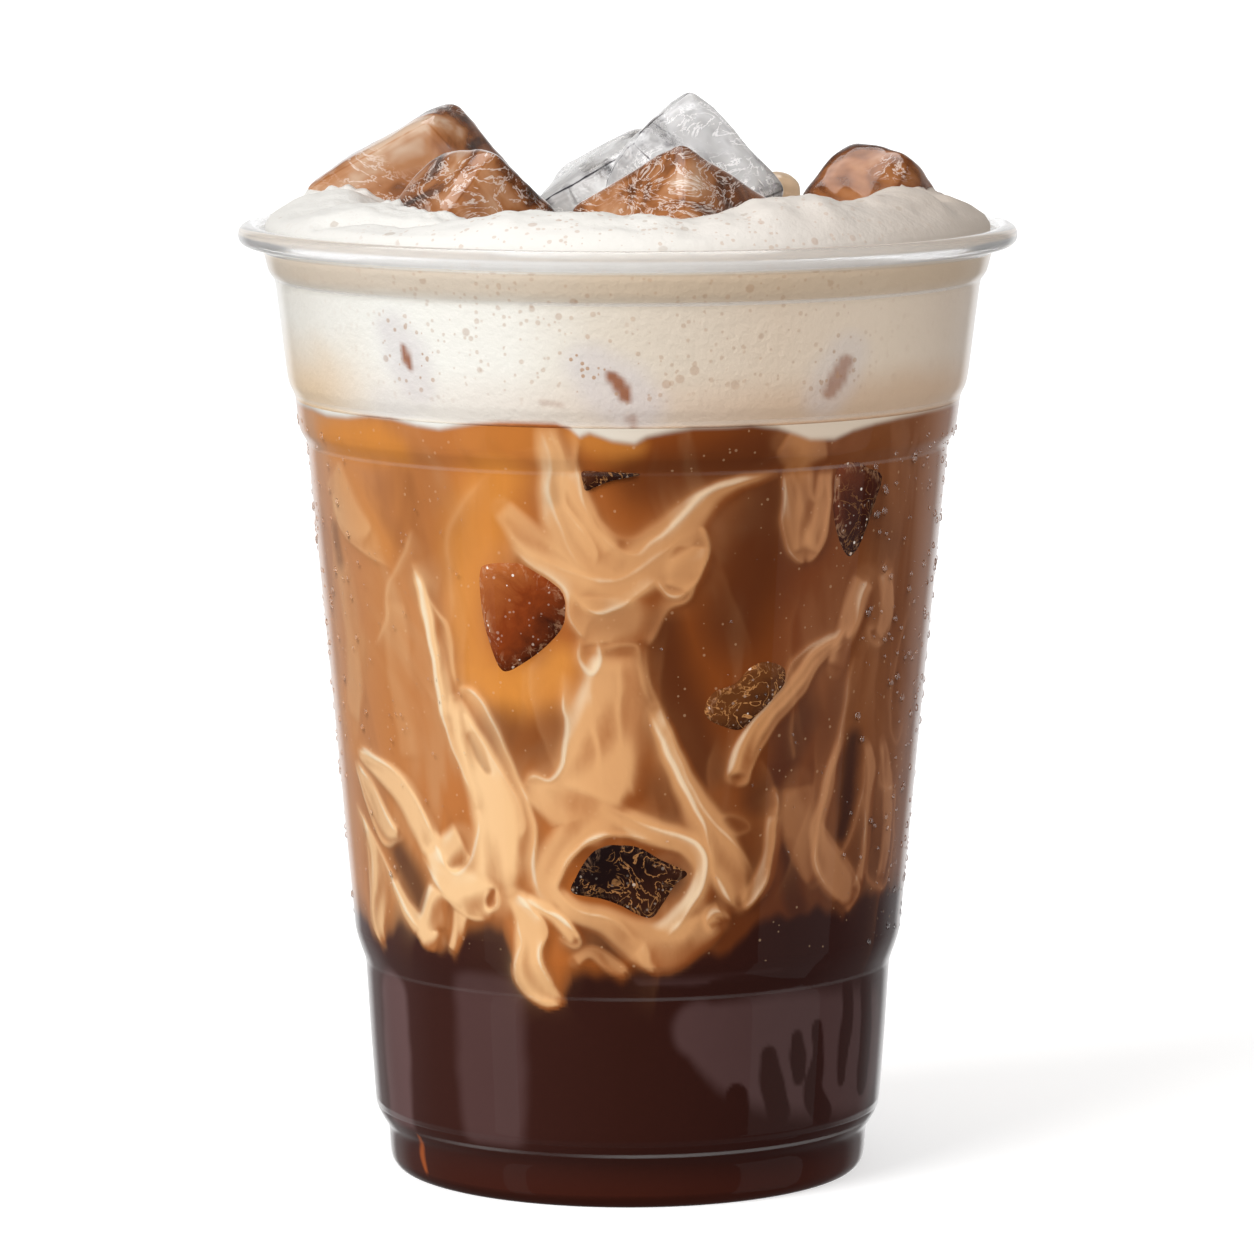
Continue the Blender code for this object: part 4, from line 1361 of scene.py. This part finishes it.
foam = finished("foam_cap", foam_mesh, foam_finish, "milk_foam")
foam_spots = np.array([vert.co[:] for vert in foam.data.vertices]) / MM
foam_around = np.arctan2(foam_spots[:, 0], -foam_spots[:, 1]) * WALL_TURN
foam_chart = Chart(96.0, 121.0, CHART_CELL)
stain_field = foam_chart.blank()
halo_field = foam_chart.blank()
for field, marks, edge in ((stain_field, FOAM_STAINS, 0.3), (halo_field, FOAM_HALOS, 2.2)):
    for behind in (False, True):
        for window, share in foam_chart.covered(marks, behind, 8.0, 0.6, 1.0, edge):
            raise_to(field, window, share)
stains = np.zeros((len(foam_spots), 4), np.float32)
stains[:, 0] = foam_chart.read(stain_field, foam_around, foam_spots[:, 2])
stains[:, 1] = foam_chart.read(halo_field, foam_around, foam_spots[:, 2])
middle_share = 1 - soft(np.abs(foam_around), 16.0, 36.0) * 0.85
stains[:, 2] = middle_share * soft(foam_spots[:, 2], 99.0, 105.0)
stains[:, 3] = soft(edge_level(foam_around, FOAM_EDGE, FOAM_LEVEL) - foam_spots[:, 2], -0.5, 0.35)
on_side = np.hypot(foam_spots[:, 0], foam_spots[:, 1]) > 30.0
stains[:, :2] *= on_side[:, None]
lay_on(foam, "stain", "FLOAT_COLOR", "color", stains)

# ---------------------------------------------------------------------------
# Ice above the foam
# Machine-made cubes, melted smooth, stand out of the foam. Milky coffee clings to most of them in
# brown films with white streaks, and two are still clear, with painted grey shade on their edges and a
# painted white middle.
# ---------------------------------------------------------------------------

ICE_CUTS = 3
ICE_WAVES = 0.35
EDGE_GAIN = 110.0


def ice_finish(name, tones, frost, clearness, rim_depth, rim_cover):
    """Wet ice: clear where it is clean, with milky films and white streaks, and painted shade darkening its
    edges.
    """
    finish = Finish(name, Roughness=0.05, IOR=1.31, Transmission_Weight=1.0)
    finish.set(finish.shader, {"Base Color": (0.97, 0.965, 0.96)})
    rim = finish.attribute("edge", "Fac")
    patches = finish.grain(70.0, 3.0, 0.5, 1.6)
    streaks = finish.grain(150.0, 4.0, 0.66, 2.4, (1.0, 0.5, 1.7)) - 0.5
    tint = finish.ramp(patches - rim * rim_depth, tones)
    some = finish.grain(60.0, 2.0, 0.5, 1.0)
    lines = finish.step(streaks * streaks, 0.0007, 0.00004) * finish.step(some, 0.42, 0.54)
    tint = finish.mix(lines * frost, tint, (0.97, 0.90, 0.84))
    film_and_painted_light = finish.wire(
        "ShaderNodeBsdfPrincipled",
        None,
        {"Base Color": tint, "Roughness": 0.10, "IOR": 1.33, "Coat Weight": 0.6},
    )
    # on clear ice the rim is coated too, with the painted grey shade of its edges
    covered = finish.step(patches, 0.28, 0.55) * (1.0 - clearness) + rim * rim_cover
    covered = (covered + lines * 0.5).at_most(1.0)
    wet_ice = Wire(finish, finish.shader.outputs[0])
    finish.set(finish.out, {0: finish.blend(covered, wet_ice, film_and_painted_light)})
    return finish


BROWN_TONES = (
    (0.30, (0.075, 0.020, 0.007)),
    (0.42, (0.22, 0.068, 0.020)),
    (0.52, (0.38, 0.145, 0.050)),
    (0.61, (0.52, 0.250, 0.120)),
    (0.72, (0.70, 0.500, 0.360)),
)
# Clear ice's coat: painted grey shade at its edges up to a painted white in its middle
CLEAR_SHADE_AND_LIGHT_TONES = (
    (0.18, (0.035, 0.032, 0.038)),
    (0.30, (0.30, 0.290, 0.305)),
    (0.44, (0.94, 0.935, 0.945)),
)
MILKY_TONES = ((0.30, (0.60, 0.36, 0.20)), (0.70, (0.86, 0.66, 0.46)))
brown_ice = ice_finish("brown_ice", BROWN_TONES, 0.50, 0.05, 0.10, 0.0)
clear_ice = ice_finish("clear_ice", CLEAR_SHADE_AND_LIGHT_TONES, 0.2, 0.60, 0.42, 0.85)
milky_ice = ice_finish("milky_ice", MILKY_TONES, 0.1, 0.0, 0.0, 0.0)
ICE_FINISHES = {
    "ice_left_back": (brown_ice, "brown_ice"),
    "ice_left_front": (brown_ice, "brown_ice"),
    "ice_mid_left": (clear_ice, "clear_ice"),
    "ice_mid_back": (clear_ice, "clear_ice"),
    "ice_mid_front": (brown_ice, "brown_ice"),
    "ice_right": (brown_ice, "brown_ice"),
    "ice_small": (milky_ice, "milky_ice"),
}


def melted(node_name, number):
    """A cube of the solids, rounded and made uneven, and how sharply it bends at each vertex."""
    lump = bmesh.new()
    lump.from_mesh(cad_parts[node_name].data)
    bmesh.ops.remove_doubles(lump, verts=lump.verts[:], dist=SEAM)
    for cut in range(ICE_CUTS):
        bmesh.ops.subdivide_edges(lump, edges=lump.edges[:], cuts=1, use_grid_fill=True)
        axes = {"use_axis_x": True, "use_axis_y": True, "use_axis_z": True}
        bmesh.ops.smooth_vert(lump, verts=lump.verts[:], factor=0.5, **axes)
    lump.normal_update()
    for vert in lump.verts:
        spot = vert.co / MM
        wave = noise.noise(spot * 0.14 + Vector((number * 9.0, 0, 0))) + 0.4 * noise.noise(spot * 0.5)
        vert.co += vert.normal * (wave * ICE_WAVES * MM)
    bmesh.ops.recalc_face_normals(lump, faces=lump.faces[:])
    bends = [min(max((vert.calc_shell_factor() - 1.0) * EDGE_GAIN, 0.0), 1.0) for vert in lump.verts]
    return lump, bends


for number, (node_name, (finish, slot_name)) in enumerate(ICE_FINISHES.items()):
    lump, bends = melted(node_name, number)
    cube = finished(node_name.replace("ice", "cube"), lump, finish, node_name)
    lay_on(cube, "edge", "FLOAT", "value", bends)

# ---------------------------------------------------------------------------
# Condensation
# Cold drink has drawn fine drops of water out of the air. They stand on the outside of the
# plastic, thick at both sides of the cup and thin in front.
# ---------------------------------------------------------------------------

# Parts of the wall: from and to an angle in degrees to the right of the front, from and to a
# height in mm, how many drops, and the largest radius in mm. Every other drop stands behind
DROP_PATCHES = (
    (-96.0, -56.0, 60.0, 96.0, 240, 0.42),
    (-96.0, -52.0, 35.0, 60.0, 110, 0.34),
    (-56.0, -26.0, 50.0, 91.0, 160, 0.20),
    (48.0, 96.0, 56.0, 96.0, 400, 0.50),
    (48.0, 96.0, 31.0, 56.0, 220, 0.46),
    (4.0, 48.0, 36.0, 91.0, 80, 0.20),
)
DROP_FLATNESS = 0.5
DROP_LENGTH = 1.15
SMALLEST_DROP = 0.3
drop_chance = np.random.default_rng(23)
drops = bmesh.new()
one_drop = bpy.data.meshes.new("one_drop")
for left, right, low, high, count, largest in DROP_PATCHES:
    for number in range(count):
        height = drop_chance.uniform(low, high)
        turn = 0.0 if number % 2 else math.pi
        angle = math.radians(drop_chance.uniform(left, right)) + turn
        size = largest * drop_chance.uniform(SMALLEST_DROP, 1.0) ** 2
        radius = float(outer_radius(height))
        facing = Matrix.Rotation(angle, 4, "Z")
        place = Vector((radius * math.sin(angle), -radius * math.cos(angle), height))
        spot = Matrix.Translation(place * MM)
        shape = Matrix.Diagonal((size * MM, size * DROP_FLATNESS * MM, size * DROP_LENGTH * MM, 1.0))
        drop = bmesh.new()
        bmesh.ops.create_icosphere(drop, subdivisions=2, radius=1.0, matrix=spot @ facing @ shape)
        drop.to_mesh(one_drop)
        drop.free()
        drops.from_mesh(one_drop)
bpy.data.meshes.remove(one_drop)
drop_finish = Finish("water", Roughness=0.0, IOR=1.33, Transmission_Weight=1.0)
drop_tint = drop_finish.mix(drop_finish.grain(90.0, 2.0), (0.96, 0.96, 0.97), (1.0, 1.0, 1.0))
drop_finish.set(drop_finish.shader, {"Base Color": drop_tint})
finished("condensation", drops, drop_finish, None)

# ---------------------------------------------------------------------------
# Floor, light and camera
# A plain pale floor, a broad soft light from the left, and strips that show as soft bands in the
# plastic. The camera stands where the photo's did.
# ---------------------------------------------------------------------------

# How bright the room looks in reflections, from the camera's side of it (0) to the far side (1)
ROOM_BRIGHTNESS = ((0.001, 0.03), (0.50, 0.05), (0.80, 0.10), (0.93, 0.32), (0.975, 0.98))

EVEN_LIGHT = 0.50
FLOOR_GLOW = 0.46
FLOOR_RADIUS = 6.0

scene = bpy.context.scene
scene.view_settings.view_transform = "Standard"
scene.view_settings.look = "None"

floor_mesh = bmesh.new()
bmesh.ops.create_circle(floor_mesh, cap_ends=True, segments=128, radius=FLOOR_RADIUS)
floor_data = bpy.data.meshes.new("floor")
floor_mesh.to_mesh(floor_data)
floor_mesh.free()
floor = bpy.data.objects.new("floor", floor_data)
scene.collection.objects.link(floor)
floor_finish = Finish("pale_floor", Roughness=0.9, Specular_IOR_Level=0.0)
floor_speck = floor_finish.grain(3.0, 2.0)
floor_finish.set(
    floor_finish.shader,
    {
        "Base Color": floor_finish.mix(floor_speck, (0.95, 0.95, 0.95), (0.96, 0.96, 0.96)),
        "Emission Color": (1.0, 1.0, 1.0),
        "Emission Strength": FLOOR_GLOW,
    },
)
floor_data.materials.append(floor_finish.material)
floor.visible_glossy = False
floor.visible_diffuse = False
floor.location.z = -0.00005

world = bpy.data.worlds.new("studio")
scene.world = world
studio = Nodes(world)
backdrop = studio.tree.nodes["Background"]
studio.set(backdrop, {"Color": (1.0, 1.0, 1.0), "Strength": 1.0})
toward = studio.wire("ShaderNodeTexCoord", None, None, "Generated")
away = studio.split(toward, "ShaderNodeSeparateXYZ")[1]
far_side = studio.wire("ShaderNodeMapRange", None, {"Value": away, "From Min": -1.0})
stops = [(share, (brightness, brightness, brightness)) for share, brightness in ROOM_BRIGHTNESS]
room_ramp = studio.add("ShaderNodeValToRGB", {"stops": stops}, {0: far_side})
room_ramp.color_ramp.interpolation = "EASE"
room_light = Wire(studio, room_ramp.outputs[0])
room = studio.wire("ShaderNodeBackground", None, {"Color": (1.0, 1.0, 1.0), "Strength": room_light})
even = studio.wire("ShaderNodeBackground", None, {"Color": (1.0, 0.995, 0.985), "Strength": EVEN_LIGHT})
ray = studio.add("ShaderNodeLightPath")
lighting = studio.blend(Wire(studio, ray.outputs["Is Diffuse Ray"]), room, even)
white = Wire(studio, backdrop.outputs[0])
seen = studio.blend(Wire(studio, ray.outputs["Is Camera Ray"]), lighting, white)
studio.set(studio.tree.nodes["World Output"], {0: seen})


def aimed(name, lamp, place, target):
    """A lamp that stands at a place and looks at its target, unseen by the camera."""
    light = bpy.data.objects.new(name, lamp)
    scene.collection.objects.link(light)
    light.location = place
    light.rotation_euler = (Vector(target) - Vector(place)).to_track_quat("-Z", "Y").to_euler()
    light.visible_camera = False
    return light


def broad_light(name, place, strength, spread):
    """A lamp so far away that it lights the cup and the floor evenly, with a soft shadow."""
    lamp = bpy.data.lights.new(name, "SUN")
    lamp.energy = strength
    lamp.angle = math.radians(spread)
    aimed(name, lamp, place, (0, 0, 0)).visible_glossy = False


def reflector(name, place, target, width, height, brightness):
    """A card that shows only as a soft bright shape in the plastic and the ice."""
    lamp = bpy.data.lights.new(name, "AREA")
    lamp.shape = "RECTANGLE"
    lamp.size = width
    lamp.size_y = height
    lamp.energy = brightness * math.pi * width * height
    aimed(name, lamp, place, target).visible_diffuse = False


broad_light("key", (-0.62, -0.58, 0.53), 2.25, 38.0)
broad_light("fill", (0.75, -0.60, 0.30), 0.55, 60.0)
reflector("top_card", (-0.1, 0.25, 1.1), (0, 0, 0.1), 0.9, 0.9, 2.6)
reflector("left_card", (-0.62, -0.42, 0.05), (0, 0, 0.06), 0.16, 1.2, 0.12)
reflector("right_card", (0.72, -0.20, 0.05), (0, 0, 0.06), 0.5, 1.2, 0.12)

camera_data = bpy.data.cameras.new("camera")
camera_data.sensor_width = 36.0
camera_data.lens = CAMERA_FOCAL / PHOTO_WIDTH * camera_data.sensor_width
camera_data.clip_start = 0.05
camera_data.clip_end = 20.0
camera = bpy.data.objects.new("camera", camera_data)
scene.collection.objects.link(camera)
camera_left = (AXIS_IN_PHOTO - PHOTO_MIDDLE) / CAMERA_FOCAL * CAMERA_BACK
camera.location = Vector((-camera_left, -CAMERA_BACK, CAMERA_HEIGHT)) * MM
camera.rotation_euler = (math.radians(90) - CAMERA_PITCH, 0.0, 0.0)
scene.camera = camera
